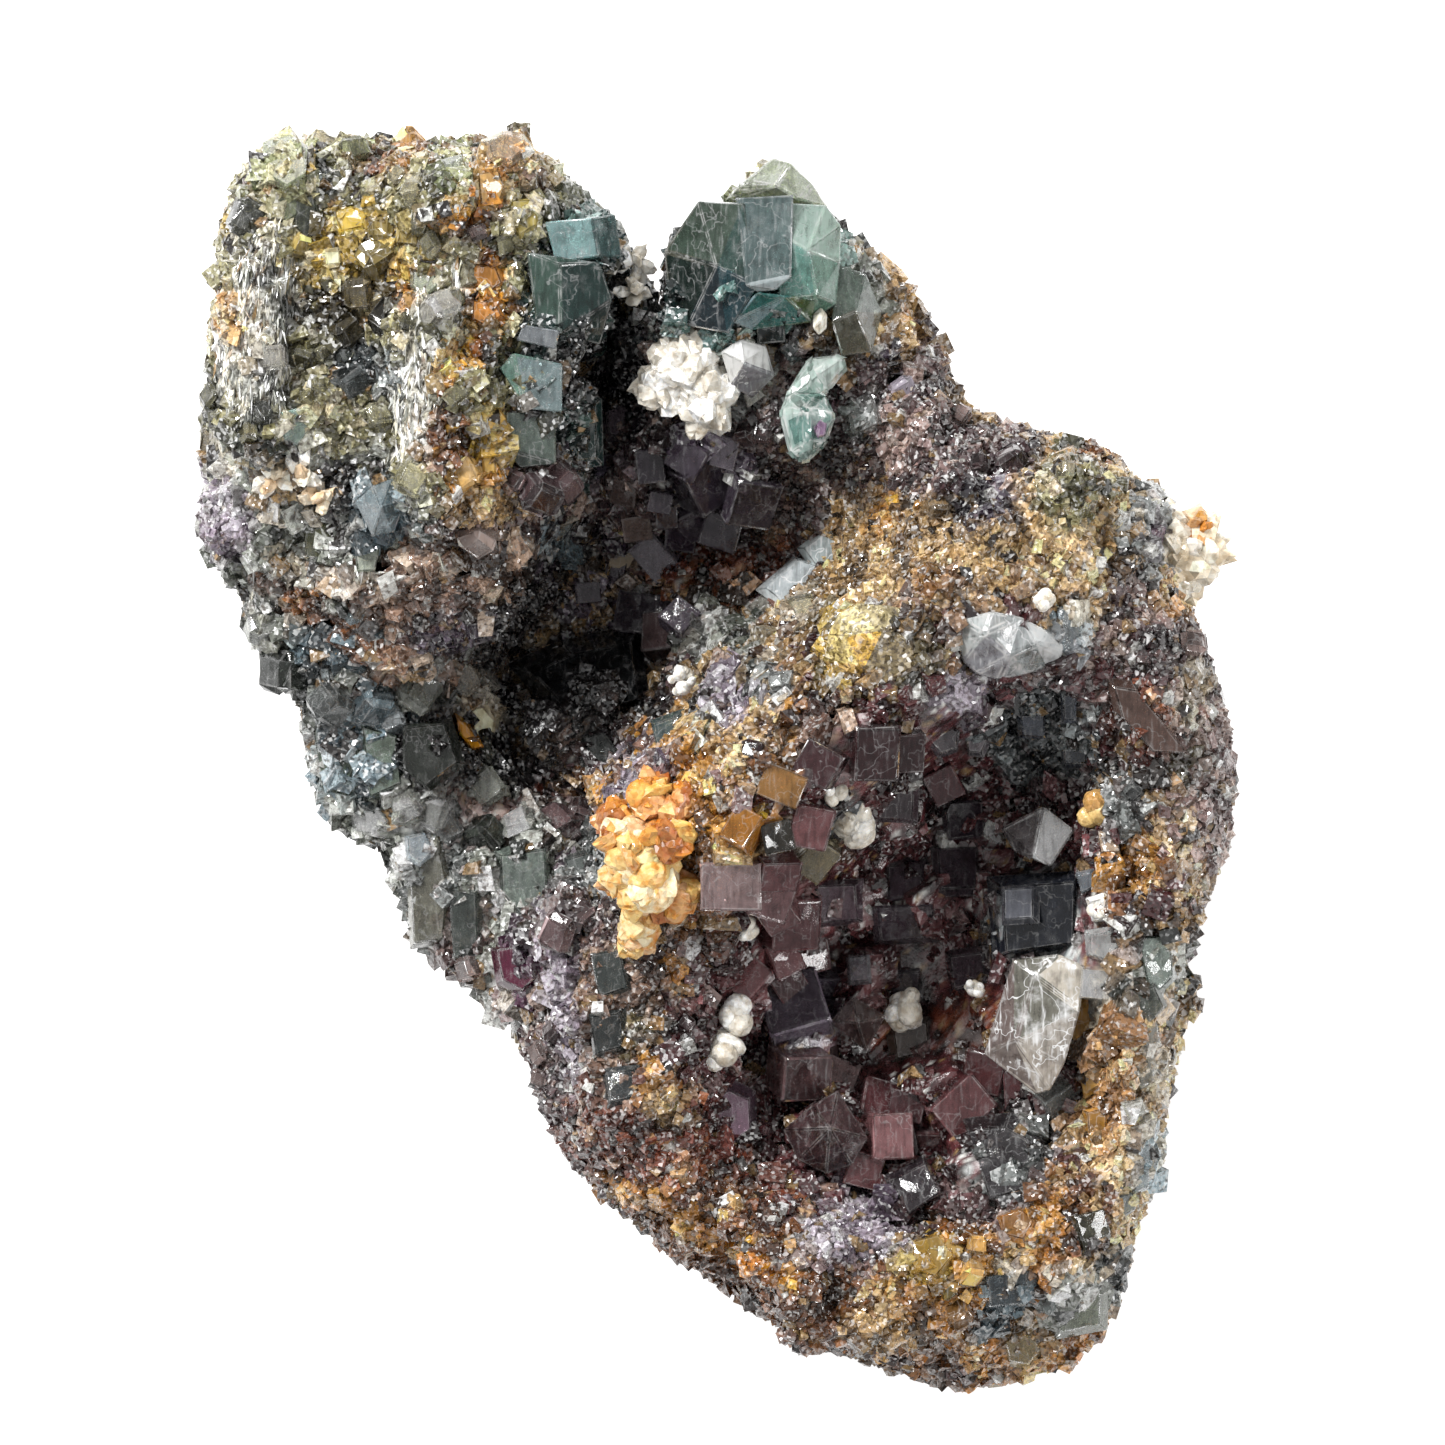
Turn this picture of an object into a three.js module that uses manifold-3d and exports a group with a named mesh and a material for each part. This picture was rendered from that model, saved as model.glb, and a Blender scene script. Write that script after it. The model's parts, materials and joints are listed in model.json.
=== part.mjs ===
import * as THREE from 'three';
import { ConvexGeometry } from 'three/addons/geometries/ConvexGeometry.js';
import { mergeVertices } from 'three/addons/utils/BufferGeometryUtils.js';
import Module from 'manifold-3d';

// A hand specimen of fluorite with calcite, lying on its back with its crystals up.
// Millimetres. +X and +Y run across the display face, +Z points out of it.

const wasm = await Module();
wasm.setup();

// Driving dimensions
const EQUATOR_HEIGHT = 14; // where the specimen is widest, above the surface it rests on
const RESTING_SHARE = 0.5; // how much of the outline's reach the flat resting facet takes
const EDGE_ROUND = 3.2; // how far in from the outline the display face reaches its full height
const SHEET_SIZE = [66, 77]; // the ground that the display face is worked out on
const FACET = 2.6; // spacing of the corners of the rock's facets
const COLUMNS = 44; // facets round the outline
const GAP = 0.3; // clearance between neighbouring pieces
const ROUGHNESS = 0.5; // height of the lumps on the rock
const UNEVENNESS = 0.5; // how far a facet's corners stray from the even shape
const FINEST_DETAIL = 0.12; // slivers smaller than this are left out after a cut
const BLOCK_BASE = 11; // where the green block starts
const BLADE_SIDES = 4; // faces round a calcite blade
const CUBE_TILT = 32; // how far, in degrees, the small cubes lean at most

// The outline of the whole specimen, seen from above, clockwise from the top left
const OUTLINE = [
  [-27, 34.5], [-24, 36], [-17.5, 35.5], [-11.5, 36], [-8.5, 34], [-5.5, 31], [-3.5, 27],
  [-2.5, 29.5], [-0.5, 31.5], [3.5, 33], [7.5, 30.5], [11, 28.5], [12.5, 24], [13, 21.5],
  [16, 20], [20, 19], [22.5, 18], [25.5, 15.5], [26.5, 11.5], [27.5, 8], [29, 3], [29.5, -2],
  [29, -6.5], [27, -8.5], [26.5, -15], [25.5, -21], [23.5, -27], [23, -30.5], [20.5, -34],
  [17, -36.5], [13.5, -34.5], [6, -33], [2.5, -30], [-2, -27], [-6.5, -23.5], [-9.5, -19],
  [-10.5, -15], [-13, -12], [-16, -10.5], [-17.5, -7], [-18.5, -4], [-22, -2], [-22.5, 1.5],
  [-24.5, 5], [-26.5, 10.5], [-29, 13], [-29, 16], [-27.5, 19], [-28.5, 25],
];

// Heights of the display face, each along a line from one point to another
const TERRAIN = [
  { name: 'diagonal ridge', from: [-4, -4.5, 29], to: [16, 11.5, 31] },
  { name: 'upper plateau', from: [15.5, 13.5, 29], to: [14, 19.5, 24] },
  { name: 'plateau east', from: [16.5, 12.5, 29], to: [24, 13.5, 25] },
  { name: 'east rim', from: [25, 8, 27], to: [26, -12, 24] },
  { name: 'south-east rim', from: [25, -13, 24], to: [22, -24, 23] },
  { name: 'south rim', from: [19, -26, 24], to: [2.5, -28, 23] },
  { name: 'west rim', from: [-7, -7.5, 25], to: [-3, -23, 23] },
  { name: 'foot', from: [16, -29.5, 20], to: [17.5, -35, 15] },
  { name: 'bridge', from: [-6, 16.5, 17], to: [4, 18, 20] },
  { name: 'top rock', from: [-1.5, 28, 18], to: [10, 24.5, 20] },
  { name: 'calcite ledge', from: [-1.8, 22.6, 21.8], to: [5.4, 22, 21.6] },
  { name: 'green block', from: [-24, 32, 25], to: [-24, 19, 25] },
  { name: 'block crest', from: [-13, 32, 27.5], to: [-12.5, 15, 27.5] },
  { name: 'block recess', from: [-20.5, 28, 24.5], to: [-20.5, 23, 24.5] },
  { name: 'brown slope', from: [-20, 11, 23], to: [-12, 9, 22] },
  { name: 'lilac lobe', from: [-27, 14, 21], to: [-25.5, 11.5, 19] },
  { name: 'upper left slope', from: [-23, 7, 17.5], to: [-16.5, 0.5, 17] },
  { name: 'lower left slope', from: [-16.5, -2, 15.5], to: [-11, -10, 14.5] },
  { name: 'bowl floor', from: [6, -16, 13], to: [16, -3, 15] },
  { name: 'bowl south', from: [9, -20, 15.5], to: [17, -17, 16] },
  { name: 'cavity', from: [-11, 7, 7], to: [-4.5, 10, 9] },
  { name: 'upper cavity', from: [-7, 21.5, 11], to: [-6.5, 12, 8] },
  { name: 'east cavity', from: [-1, 13, 11], to: [3, 13.5, 13] },
  { name: 'lower cavity', from: [-9.5, 4, 9], to: [-8, -4, 12] },
];

// Crystals that are told apart by eye: edge length, centre and turn in degrees
const BLOCK_CRYSTALS = [
  { name: 'outer striated columns', size: [1.1, 10, 3], at: [-26.3, 23, 24.8], turn: [3, 0, 4] },
  { name: 'outer striated columns', size: [1, 11, 3], at: [-25.2, 23.2, 25.3], turn: [2, 6, 3] },
  { name: 'outer striated columns', size: [1.1, 9, 3], at: [-24.1, 23, 25], turn: [2, -6, 1] },
  { name: 'inner striated columns', size: [1, 11, 3.4], at: [-16.8, 20.4, 27.4], turn: [3, 8, 5] },
  { name: 'inner striated columns', size: [1, 13, 3.4], at: [-15.7, 20.1, 28], turn: [3, 0, 4] },
  { name: 'inner striated columns', size: [1.1, 12, 3.4], at: [-14.6, 19.8, 27.7], turn: [3, -8, 3] },
  { name: 'corner knob', size: [2.4, 2.2, 3], at: [-23.8, 33.8, 23.5], turn: [20, 12, 30] },
  { name: 'top knob', size: [2.4, 2, 3], at: [-11.2, 34.2, 25.5], turn: [15, 5, 12] },
  { name: 'teal cube', size: [2.4, 2.3, 4.5], at: [-6.7, 29.6, 23], turn: [0, 8, -8] },
  { name: 'dark teal slab', size: [2.6, 4.6, 7], at: [-7.6, 26.6, 18.5], turn: [0, 4, -4] },
  { name: 'grey cube', size: [3, 2.6, 4], at: [-9, 24.4, 25], turn: [12, 16, -10] },
  { name: 'pale teal cube', size: [3.2, 3, 4], at: [-9.6, 21.2, 25.5], turn: [18, 22, 14] },
  { name: 'lower teal slab', size: [2.6, 5, 8], at: [-8.2, 19, 20], turn: [0, 6, 6] },
  { name: 'pale cube', size: [2.3, 2.3, 3], at: [-10.2, 16.3, 24.6], turn: [24, 14, 20] },
];

const TOP_CRYSTALS = [
  { name: 'left cube', size: [3.9, 4, 5], at: [-0.6, 28.3, 21.5], turn: [14, -12, 32] },
  { name: 'main cube', size: [4.2, 4.2, 6], at: [3, 28.4, 22.5], turn: [10, 6, -22] },
  { name: 'pale peak', size: [3, 3, 4], at: [3.4, 31.6, 19.5], turn: [35, 8, 42] },
  { name: 'right cube', size: [3.2, 3.4, 4.5], at: [6.4, 28.2, 20.8], turn: [16, 22, 12] },
  { name: 'front cube', size: [2.8, 2.6, 4], at: [1.2, 25.4, 21.4], turn: [22, -8, 8] },
  { name: 'front right cube', size: [2.6, 2.4, 4], at: [4.8, 25.4, 21], turn: [18, 14, 26] },
  { name: 'brown grain', size: [2.4, 2.6, 3], at: [8.6, 27.3, 19.4], turn: [24, 20, 50] },
  { name: 'brown grain', size: [2.6, 2.2, 3], at: [9.6, 24.8, 19.6], turn: [10, 26, 20] },
  { name: 'brown grain', size: [2.2, 2.2, 3], at: [7.4, 24, 20.2], turn: [30, 10, 36] },
  { name: 'dark pyramid', size: [1.8, 1.8, 4], at: [-3, 25.8, 16], turn: [0, 0, 45] },
];

const SLOPE_CRYSTALS = [
  { name: 'green prism', size: [2.2, 4.2, 3], at: [-24, 7.2, 15.4], turn: [14, -16, 12] },
  { name: 'blue-grey cube', size: [2.6, 2.8, 3], at: [-20, 5.7, 16.4], turn: [10, 18, 24] },
  { name: 'small clear cube', size: [1.7, 1.7, 2], at: [-21.8, 4, 16.8], turn: [30, 20, 42] },
  { name: 'teal blade', size: [3, 1.4, 3], at: [-20.2, 2.1, 15.6], turn: [12, 10, -8] },
  { name: 'grey lump', size: [2.6, 2.4, 3], at: [-16.6, 1.2, 16], turn: [24, 30, 18] },
  { name: 'bluish cube', size: [2.8, 2.6, 3], at: [-20, -0.6, 14], turn: [30, 26, 40] },
  { name: 'glassy cube', size: [3.2, 3.2, 3.4], at: [-16, -4.8, 13.2], turn: [22, 14, 20] },
  { name: 'glassy cube', size: [3.4, 3.2, 3.6], at: [-13.2, -5.8, 14], turn: [30, 8, 38] },
  { name: 'glassy cube', size: [3, 3, 3.4], at: [-10.4, -7.5, 14.2], turn: [18, 20, 12] },
  { name: 'glassy cube', size: [2.7, 2.7, 3], at: [-14.9, -8.2, 12.4], turn: [12, 30, 28] },
  { name: 'glassy cube', size: [3, 2.8, 3.2], at: [-12.2, -9.5, 12.6], turn: [26, 12, 6] },
  { name: 'glassy cube', size: [2.6, 2.8, 3], at: [-10, -4.6, 14.6], turn: [14, 24, 30] },
  { name: 'red-purple cube', size: [2.6, 2.2, 2.6], at: [-11.6, -11.4, 11.8], turn: [20, 16, 44] },
  { name: 'cream calcite lump', size: [2.2, 3, 2.4], at: [-13.2, 2.9, 18], turn: [34, 26, 16] },
];

const CAVITY_CRYSTALS = [
  { name: 'big dark cube', size: [6, 6.4, 6], at: [-8.2, 2.6, 10.6], turn: [28, 18, 34] },
  { name: 'small clear cube', size: [1.7, 1.6, 1.8], at: [-6.1, 4.9, 14.2], turn: [20, 10, 15] },
  { name: 'dark cube', size: [2.6, 2.6, 2.6], at: [-5.2, 18.4, 13.6], turn: [24, 30, 22] },
  { name: 'dark cube', size: [2.4, 2.2, 2.4], at: [-6.6, 20, 13.2], turn: [10, 20, 40] },
  { name: 'dark cube', size: [2.2, 2.2, 2.4], at: [-4, 16.6, 13.6], turn: [34, 12, 8] },
  { name: 'bluish cube', size: [2.4, 2.2, 2.4], at: [-1.3, 11.2, 11.6], turn: [30, 22, 18] },
  { name: 'bluish cube', size: [2.2, 2.4, 2.4], at: [1.5, 11.6, 13.4], turn: [16, 28, 36] },
  { name: 'bright grey cube', size: [2.9, 2.4, 3], at: [4.1, 10.8, 15.4], turn: [14, 10, 12] },
  { name: 'grey-green cube', size: [2.6, 2.4, 2.6], at: [-0.8, 8.4, 14.4], turn: [32, 14, 28] },
  { name: 'grey-green cube', size: [2.2, 2.4, 2.4], at: [-1.4, 5.4, 16], turn: [18, 24, 46] },
];

const BOWL_CRYSTALS = [
  { name: 'blue-black cube', size: [5.2, 5, 5.4], at: [18, -8.2, 17], turn: [10, 14, 8] },
  { name: 'milky cube', size: [5.8, 5.8, 6], at: [18.8, -13.8, 17], turn: [26, 12, 32] },
  { name: 'grey-blue cube', size: [4.8, 4.4, 5], at: [15.8, -21.4, 17.2], turn: [20, 16, 14] },
  { name: 'brown plate', size: [4.4, 4, 3], at: [23.2, 2.8, 19.4], turn: [12, 30, 24] },
  { name: 'grey square', size: [2.8, 2.8, 3.4], at: [10.4, -2, 17], turn: [8, 12, 4] },
  { name: 'rounded purple cube', size: [3.8, 3.4, 4], at: [1.2, -18.4, 18.6], turn: [16, 20, 10] },
  { name: 'diamond cube', size: [3.6, 3.6, 4], at: [7.4, -20.2, 17.2], turn: [30, 14, 45] },
  { name: 'diamond cube tip', size: [2.6, 2.4, 3], at: [4.6, -20.4, 17.2], turn: [22, 18, 45] },
  { name: 'south cube', size: [3, 2.8, 3.4], at: [11.2, -23.2, 18], turn: [18, 22, 30] },
  { name: 'floor cube', size: [2.8, 2.8, 3], at: [8.6, -6.8, 15.2], turn: [20, 12, 16] },
  { name: 'floor cube', size: [3, 2.8, 3], at: [12.2, -7, 15.6], turn: [12, 24, 28] },
  { name: 'floor cube', size: [2.6, 2.6, 3], at: [5.4, -7.6, 16], turn: [28, 10, 6] },
  { name: 'turned cube', size: [3.2, 3.2, 3.2], at: [8.1, -13.8, 14.6], turn: [14, 16, 45] },
  { name: 'floor cube', size: [2.6, 2.4, 2.8], at: [9, -10.8, 14.8], turn: [22, 20, 12] },
  { name: 'north cube', size: [2.8, 2.6, 3], at: [14, 1.8, 17], turn: [16, 26, 40] },
  { name: 'bluish plate', size: [3.2, 2.6, 3], at: [17.8, 2.2, 18], turn: [10, 14, 20] },
  { name: 'bluish plate', size: [2.8, 2.4, 3], at: [20.2, -0.4, 18.6], turn: [18, 24, 8] },
  { name: 'bright-edged cube', size: [2.8, 2.6, 3], at: [18.2, -3.3, 17.2], turn: [24, 14, 32] },
  { name: 'floor cube', size: [2.6, 2.8, 3], at: [4.8, -15.4, 15.6], turn: [16, 28, 24] },
  { name: 'west cube', size: [2.4, 2.4, 3], at: [1.8, -12, 18], turn: [26, 16, 14] },
  { name: 'west cube', size: [2.6, 2.4, 3], at: [2.8, -5.4, 19], turn: [12, 30, 36] },
  { name: 'floor cube', size: [3, 2.8, 3], at: [12.8, -17.6, 16], turn: [20, 18, 22] },
];

// Where small cubes grow all over: centre and half axes of an ellipse, with a turn in degrees
const SMALL_CUBES = {
  block: { seed: 11, count: 6, at: [-18, 24], reach: [8.5, 9.5], turn: 0, size: [1.6, 2.6] },
  bowl: { seed: 23, count: 5, at: [12, -10.5], reach: [11, 13.5], turn: 0, size: [1.6, 2.5] },
  cavity: { seed: 31, count: 4, at: [-5, 8.5], reach: [6, 8], turn: -40, size: [1.4, 2.2] },
  plateau: { seed: 41, count: 7, at: [17.5, 14], reach: [6, 3], turn: -12, size: [1.5, 2.4] },
  ridge: { seed: 43, count: 6, at: [5.5, 3.5], reach: [12, 2], turn: 38, size: [1.4, 2.3] },
  westRim: { seed: 47, count: 6, at: [-6, -14], reach: [2.4, 8], turn: 20, size: [1.5, 2.4] },
  southRim: { seed: 53, count: 7, at: [8, -28.5], reach: [10, 2.5], turn: -6, size: [1.5, 2.6] },
  eastRim: { seed: 59, count: 5, at: [25, -7], reach: [1.6, 13], turn: 4, size: [1.4, 2.2] },
  lilacLobe: { seed: 61, count: 3, at: [-26.5, 13.5], reach: [1.8, 2.4], turn: 0, size: [1.2, 2] },
  brownSlope: { seed: 67, count: 5, at: [-18, 9.5], reach: [6.5, 2], turn: -12, size: [1.3, 2.1] },
};

// Calcite crystals: where the group is rooted, how far it spreads, and its count of blades
const CALCITE_GROUPS = {
  calcite_rosette: { seed: 5, at: [-1.2, 21.8, 22.5], blades: 8, length: 3, width: 1.5, lean: 72 },
  edge_calcite: { seed: 7, at: [26, 11.8, 19.5], blades: 8, length: 3.6, width: 2, lean: 88 },
  bowl_calcite_1: { seed: 13, at: [7.7, -2.3, 19], blades: 4, length: 2.1, width: 1.1, lean: 70 },
  bowl_calcite_2: { seed: 15, at: [21.8, -2.6, 20], blades: 3, length: 1.9, width: 1.1, lean: 70 },
  bowl_calcite_3: { seed: 17, at: [10.9, -13.7, 14.9], blades: 3, length: 1.7, width: 1, lean: 65 },
  bowl_calcite_4: { seed: 21, at: [1.6, -9.1, 20.6], blades: 3, length: 1.7, width: 1, lean: 65 },
  bowl_calcite_5: { seed: 27, at: [0.8, -15, 20], blades: 3, length: 1.8, width: 1.1, lean: 65 },
};

const OCHRE_KNOBS = [
  { at: [-4.7, -3.8, 27.4], length: 3.6, width: 3.6, lean: 20, heading: 150 },
  { at: [-2.9, -2.2, 28.8], length: 3.4, width: 3.4, lean: 14, heading: 60 },
  { at: [-3.6, -5.7, 27.6], length: 3.8, width: 3.8, lean: 16, heading: 200 },
  { at: [-4.1, -8.2, 25.2], length: 3.4, width: 3.4, lean: 26, heading: 250 },
  { at: [-2.2, -7, 26], length: 3.4, width: 3.2, lean: 20, heading: 300 },
  { at: [-5.4, -6, 26.4], length: 3.2, width: 3, lean: 40, heading: 190 },
  { at: [-2.1, -4.3, 28.2], length: 3.4, width: 3.2, lean: 18, heading: 20 },
  { at: [-5.3, -2.4, 26.8], length: 2.8, width: 2.8, lean: 44, heading: 130 },
];

// The flat-faced single crystals
const CLEAR_CRYSTAL = { from: [13.6, 7.2, 29.5], to: [19.2, 6.5, 29.1], thick: 2.1, thin: 0.6 };
const GREEN_TOOTH = { from: [5.2, 22, 22.5], to: [7.2, 16.6, 26.2], thick: 2.5, thin: 0.35 };

// How the specimen is parted: outlines seen from above, and cups let into the face
const BLOCK_REGION = [
  [-6, 40], [-4.6, 32], [-5.8, 25.5], [-7, 20.5], [-8, 15], [-10, 12.8], [-14.7, 11.8], [-19, 12],
  [-20.5, 15], [-23, 16.6], [-26, 17], [-34, 17.5], [-34, 40],
];
const TOP_REGION = [[-4.4, 24], [3.5, 23.4], [9, 22.2], [14, 23], [14, 40], [-3.6, 40]];
const SLOPE_REGION = [
  [-28, 9.6], [-22, 8.6], [-13.5, 5.8], [-12, 0], [-7.8, -4.5], [-7.6, -12], [-20, -16], [-32, -4],
];
const TOP_BASE = 14.5; // where the top cubes start
const SLOPE_BASE = 9.5; // where the slope's fluorite starts
const BOWL_CUP = { at: [11.5, -10.4, 26], reach: [12.2, 15.4], depth: 15.5, turn: -4 };
const CAVITY_CUP = { at: [-4.4, 8.6, 24], reach: [6.6, 12.4], depth: 18.5, turn: -24 };
const ABOVE_ALL = 40; // a height that clears every crystal
const CUP_STEPS = 4;
const CUP_SIDES = 18;

const radians = THREE.MathUtils.degToRad;

function seededRandom(seed) {
  let state = seed * 7919;
  return () => {
    state = (state * 1664525 + 1013904223) % 4294967296;
    return state / 4294967296;
  };
}

// Solids and meshes

function toSolid(geometry) {
  geometry.deleteAttribute('normal');
  geometry.deleteAttribute('uv');
  const merged = mergeVertices(geometry, 1e-4);
  return new wasm.Manifold(new wasm.Mesh({
    numProp: 3,
    vertProperties: new Float32Array(merged.attributes.position.array),
    triVerts: new Uint32Array(merged.index.array),
  }));
}

function toGeometry(solid) {
  const mesh = solid.getMesh();
  const geometry = new THREE.BufferGeometry();
  geometry.setAttribute('position', new THREE.BufferAttribute(mesh.vertProperties, 3));
  geometry.setIndex(new THREE.BufferAttribute(mesh.triVerts, 1));
  geometry.computeVertexNormals();
  return geometry;
}

function join(solids) {
  return solids.reduce((whole, solid) => whole.add(solid));
}

function largestBody(solid) {
  const bodies = solid.simplify(FINEST_DETAIL).decompose();
  return bodies.reduce((best, body) => (body.volume() > best.volume() ? body : best));
}

// Shapes

// A crystal with square corners, turned about its own middle
function crystalBlock({ size, at, turn }) {
  const geometry = new THREE.BoxGeometry(...size);
  const rotation = new THREE.Euler(...turn.map(radians));
  geometry.applyMatrix4(new THREE.Matrix4().makeRotationFromEuler(rotation));
  geometry.translate(...at);
  return toSolid(geometry);
}

// A pointed crystal with flat faces from one end to the other
function pointedCrystal({ from, to, thick, thin }, sides, grow = 0) {
  const start = new THREE.Vector3(...from);
  const axis = new THREE.Vector3(...to).sub(start);
  const length = axis.length() + 2 * grow;
  const geometry = new THREE.CylinderGeometry(thin + grow, thick + grow, length, sides);
  geometry.applyQuaternion(
    new THREE.Quaternion().setFromUnitVectors(new THREE.Vector3(0, 1, 0), axis.clone().normalize()),
  );
  const middle = start.addScaledVector(axis, 0.5);
  geometry.translate(middle.x, middle.y, middle.z);
  return toSolid(geometry);
}

// A calcite blade: two pyramids base to base, the longer one outside
function calciteBlade({ at, length, width, lean, heading }, grow = 0) {
  const profile = [
    new THREE.Vector2(0, -length * 0.4 - grow),
    new THREE.Vector2(width / 2 + grow, length * 0.1),
    new THREE.Vector2(0, length * 0.8 + 2 * grow),
  ];
  const geometry = new THREE.LatheGeometry(profile, BLADE_SIDES);
  geometry.rotateX(radians(90));
  geometry.rotateY(radians(lean));
  geometry.rotateZ(radians(heading));
  geometry.translate(...at);
  return toSolid(geometry);
}

function calciteGroup({ seed, at, blades, length, width, lean }, grow = 0) {
  const random = seededRandom(seed);
  const solids = [];
  for (let blade = 0; blade < blades; blade += 1) {
    solids.push(calciteBlade({
      at,
      length: length * (0.8 + 0.35 * random()),
      width: width * (0.85 + 0.3 * random()),
      lean: blade === 0 ? 5 : lean * (0.55 + 0.45 * random()),
      heading: (360 / (blades - 1)) * (blade + 0.4 * random()),
    }, grow));
  }
  return join(solids);
}

// The room that a group of crystals takes in whatever it stands in
function socket(solid) {
  const { vertProperties } = solid.getMesh();
  const corners = [];
  for (let corner = 0; corner < vertProperties.length; corner += 3) {
    corners.push(new THREE.Vector3().fromArray(vertProperties, corner));
  }
  return toSolid(new ConvexGeometry(corners));
}

// The rock

function distanceToLine(x, y, { from, to }) {
  const dx = to[0] - from[0];
  const dy = to[1] - from[1];
  const along = ((x - from[0]) * dx + (y - from[1]) * dy) / (dx * dx + dy * dy);
  const share = THREE.MathUtils.clamp(along, 0, 1);
  return {
    distance: Math.hypot(x - from[0] - share * dx, y - from[1] - share * dy),
    height: THREE.MathUtils.lerp(from[2], to[2], share),
  };
}

function terrainHeight(x, y) {
  let weights = 0;
  let heights = 0;
  for (const line of TERRAIN) {
    const { distance, height } = distanceToLine(x, y, line);
    const weight = 1 / (distance * distance + 1.2) ** 2;
    weights += weight;
    heights += weight * height;
  }
  const lumps = Math.sin(1.9 * x + 0.7 * y) * Math.cos(1.6 * y - 0.8 * x);
  return heights / weights + ROUGHNESS * lumps;
}

function outlineReach(angle) {
  const direction = new THREE.Vector2(Math.cos(angle), Math.sin(angle));
  let reach = 0;
  OUTLINE.forEach((corner, index) => {
    const next = OUTLINE[(index + 1) % OUTLINE.length];
    const a = new THREE.Vector2(...corner);
    const edge = new THREE.Vector2(...next).sub(a);
    const facing = direction.cross(edge);
    const share = -direction.cross(a) / facing;
    if (share >= 0 && share < 1) {
      reach = Math.max(reach, a.addScaledVector(edge, share).dot(direction));
    }
  });
  return reach;
}

function equatorHeight(x, y) {
  return EQUATOR_HEIGHT + 1.3 * Math.sin(0.16 * x - 0.1 * y) + 0.05 * y;
}

// The display face, rounded over towards the outline
function faceHeight(x, y) {
  const inset = (outlineReach(Math.atan2(y, x)) - Math.hypot(x, y)) / EDGE_ROUND;
  const rise = Math.sqrt(1 - (1 - THREE.MathUtils.clamp(inset, 0, 1)) ** 2);
  return THREE.MathUtils.lerp(equatorHeight(x, y), terrainHeight(x, y), rise);
}

// The display face as the top of a thick sheet that reaches past the outline all round
function faceSheet(stray) {
  const [across, along] = SHEET_SIZE.map((size) => Math.round(size / FACET));
  const floor = -1;
  const geometry = new THREE.BoxGeometry(...SHEET_SIZE, 1, across, along, 1);
  geometry.deleteAttribute('normal');
  geometry.deleteAttribute('uv');
  const sheet = mergeVertices(geometry);
  const position = sheet.attributes.position;
  for (let corner = 0; corner < position.count; corner += 1) {
    if (position.getZ(corner) < 0) {
      position.setZ(corner, floor);
    } else {
      const edge = Math.abs(position.getX(corner)) === SHEET_SIZE[0] / 2
        || Math.abs(position.getY(corner)) === SHEET_SIZE[1] / 2;
      const x = position.getX(corner) + (edge ? 0 : stray(FACET * 0.35));
      const y = position.getY(corner) + (edge ? 0 : stray(FACET * 0.35));
      position.setXYZ(corner, x, y, faceHeight(x, y) + stray(UNEVENNESS));
    }
  }
  return toSolid(sheet);
}

// The sides and the broken underside, in rings from the flat resting facet up past the face
function sidesAndBack(stray) {
  const rings = [
    { share: RESTING_SHARE, height: 0, lift: 0 },
    { share: 0.68, height: 0.1, lift: 0 },
    { share: 0.84, height: 0.3, lift: 0 },
    { share: 0.97, height: 0.66, lift: 0 },
    { share: 1, height: 1, lift: 0 },
    { share: 0.98, height: 1, lift: 7 },
    { share: 0.93, height: 1, lift: 26 },
  ];
  const positions = [0, 0, 0];
  rings.forEach(({ share, height, lift }) => {
    for (let column = 0; column < COLUMNS; column += 1) {
      const angle = ((column + stray(0.3)) / COLUMNS) * 2 * Math.PI;
      const reach = outlineReach(angle) * (share + (share < 1 ? stray(0.02) : 0));
      const x = Math.cos(angle) * reach;
      const y = Math.sin(angle) * reach;
      const uneven = height > 0 ? stray(1.6 * UNEVENNESS) : 0;
      positions.push(x, y, height * equatorHeight(x, y) + lift + uneven);
    }
  });
  const top = positions.length / 3;
  positions.push(0, 0, EQUATOR_HEIGHT + rings[rings.length - 1].lift);
  const index = [];
  for (let column = 0; column < COLUMNS; column += 1) {
    const next = (column + 1) % COLUMNS;
    index.push(0, 1 + next, 1 + column);
    for (let ring = 0; ring < rings.length - 1; ring += 1) {
      const lower = 1 + ring * COLUMNS;
      const upper = lower + COLUMNS;
      index.push(lower + column, lower + next, upper + next);
      index.push(lower + column, upper + next, upper + column);
    }
    const last = 1 + (rings.length - 1) * COLUMNS;
    index.push(top, last + column, last + next);
  }
  const geometry = new THREE.BufferGeometry();
  geometry.setAttribute('position', new THREE.Float32BufferAttribute(positions, 3));
  geometry.setIndex(index);
  return toSolid(geometry);
}

function rockBody() {
  const random = seededRandom(3);
  const stray = (most) => most * (2 * random() - 1);
  return faceSheet(stray).intersect(sidesAndBack(stray));
}

// Small cubes sunk halfway into the face of the rock
function smallCubes({ seed, count, at, reach, turn, size }) {
  const random = seededRandom(seed);
  const cubes = [];
  for (let cube = 0; cube < count; cube += 1) {
    const spread = Math.sqrt(random());
    const angle = random() * 2 * Math.PI;
    const offset = new THREE.Vector2(reach[0] * Math.cos(angle), reach[1] * Math.sin(angle));
    offset.multiplyScalar(spread);
    offset.rotateAround(new THREE.Vector2(), radians(turn));
    const x = at[0] + offset.x;
    const y = at[1] + offset.y;
    const edge = THREE.MathUtils.lerp(size[0], size[1], random());
    cubes.push(crystalBlock({
      size: [edge, edge * (0.8 + 0.3 * random()), edge],
      at: [x, y, faceHeight(x, y) + 0.1 * edge],
      turn: [CUBE_TILT * random(), CUBE_TILT * random(), 90 * random()],
    }));
  }
  return cubes;
}

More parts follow.
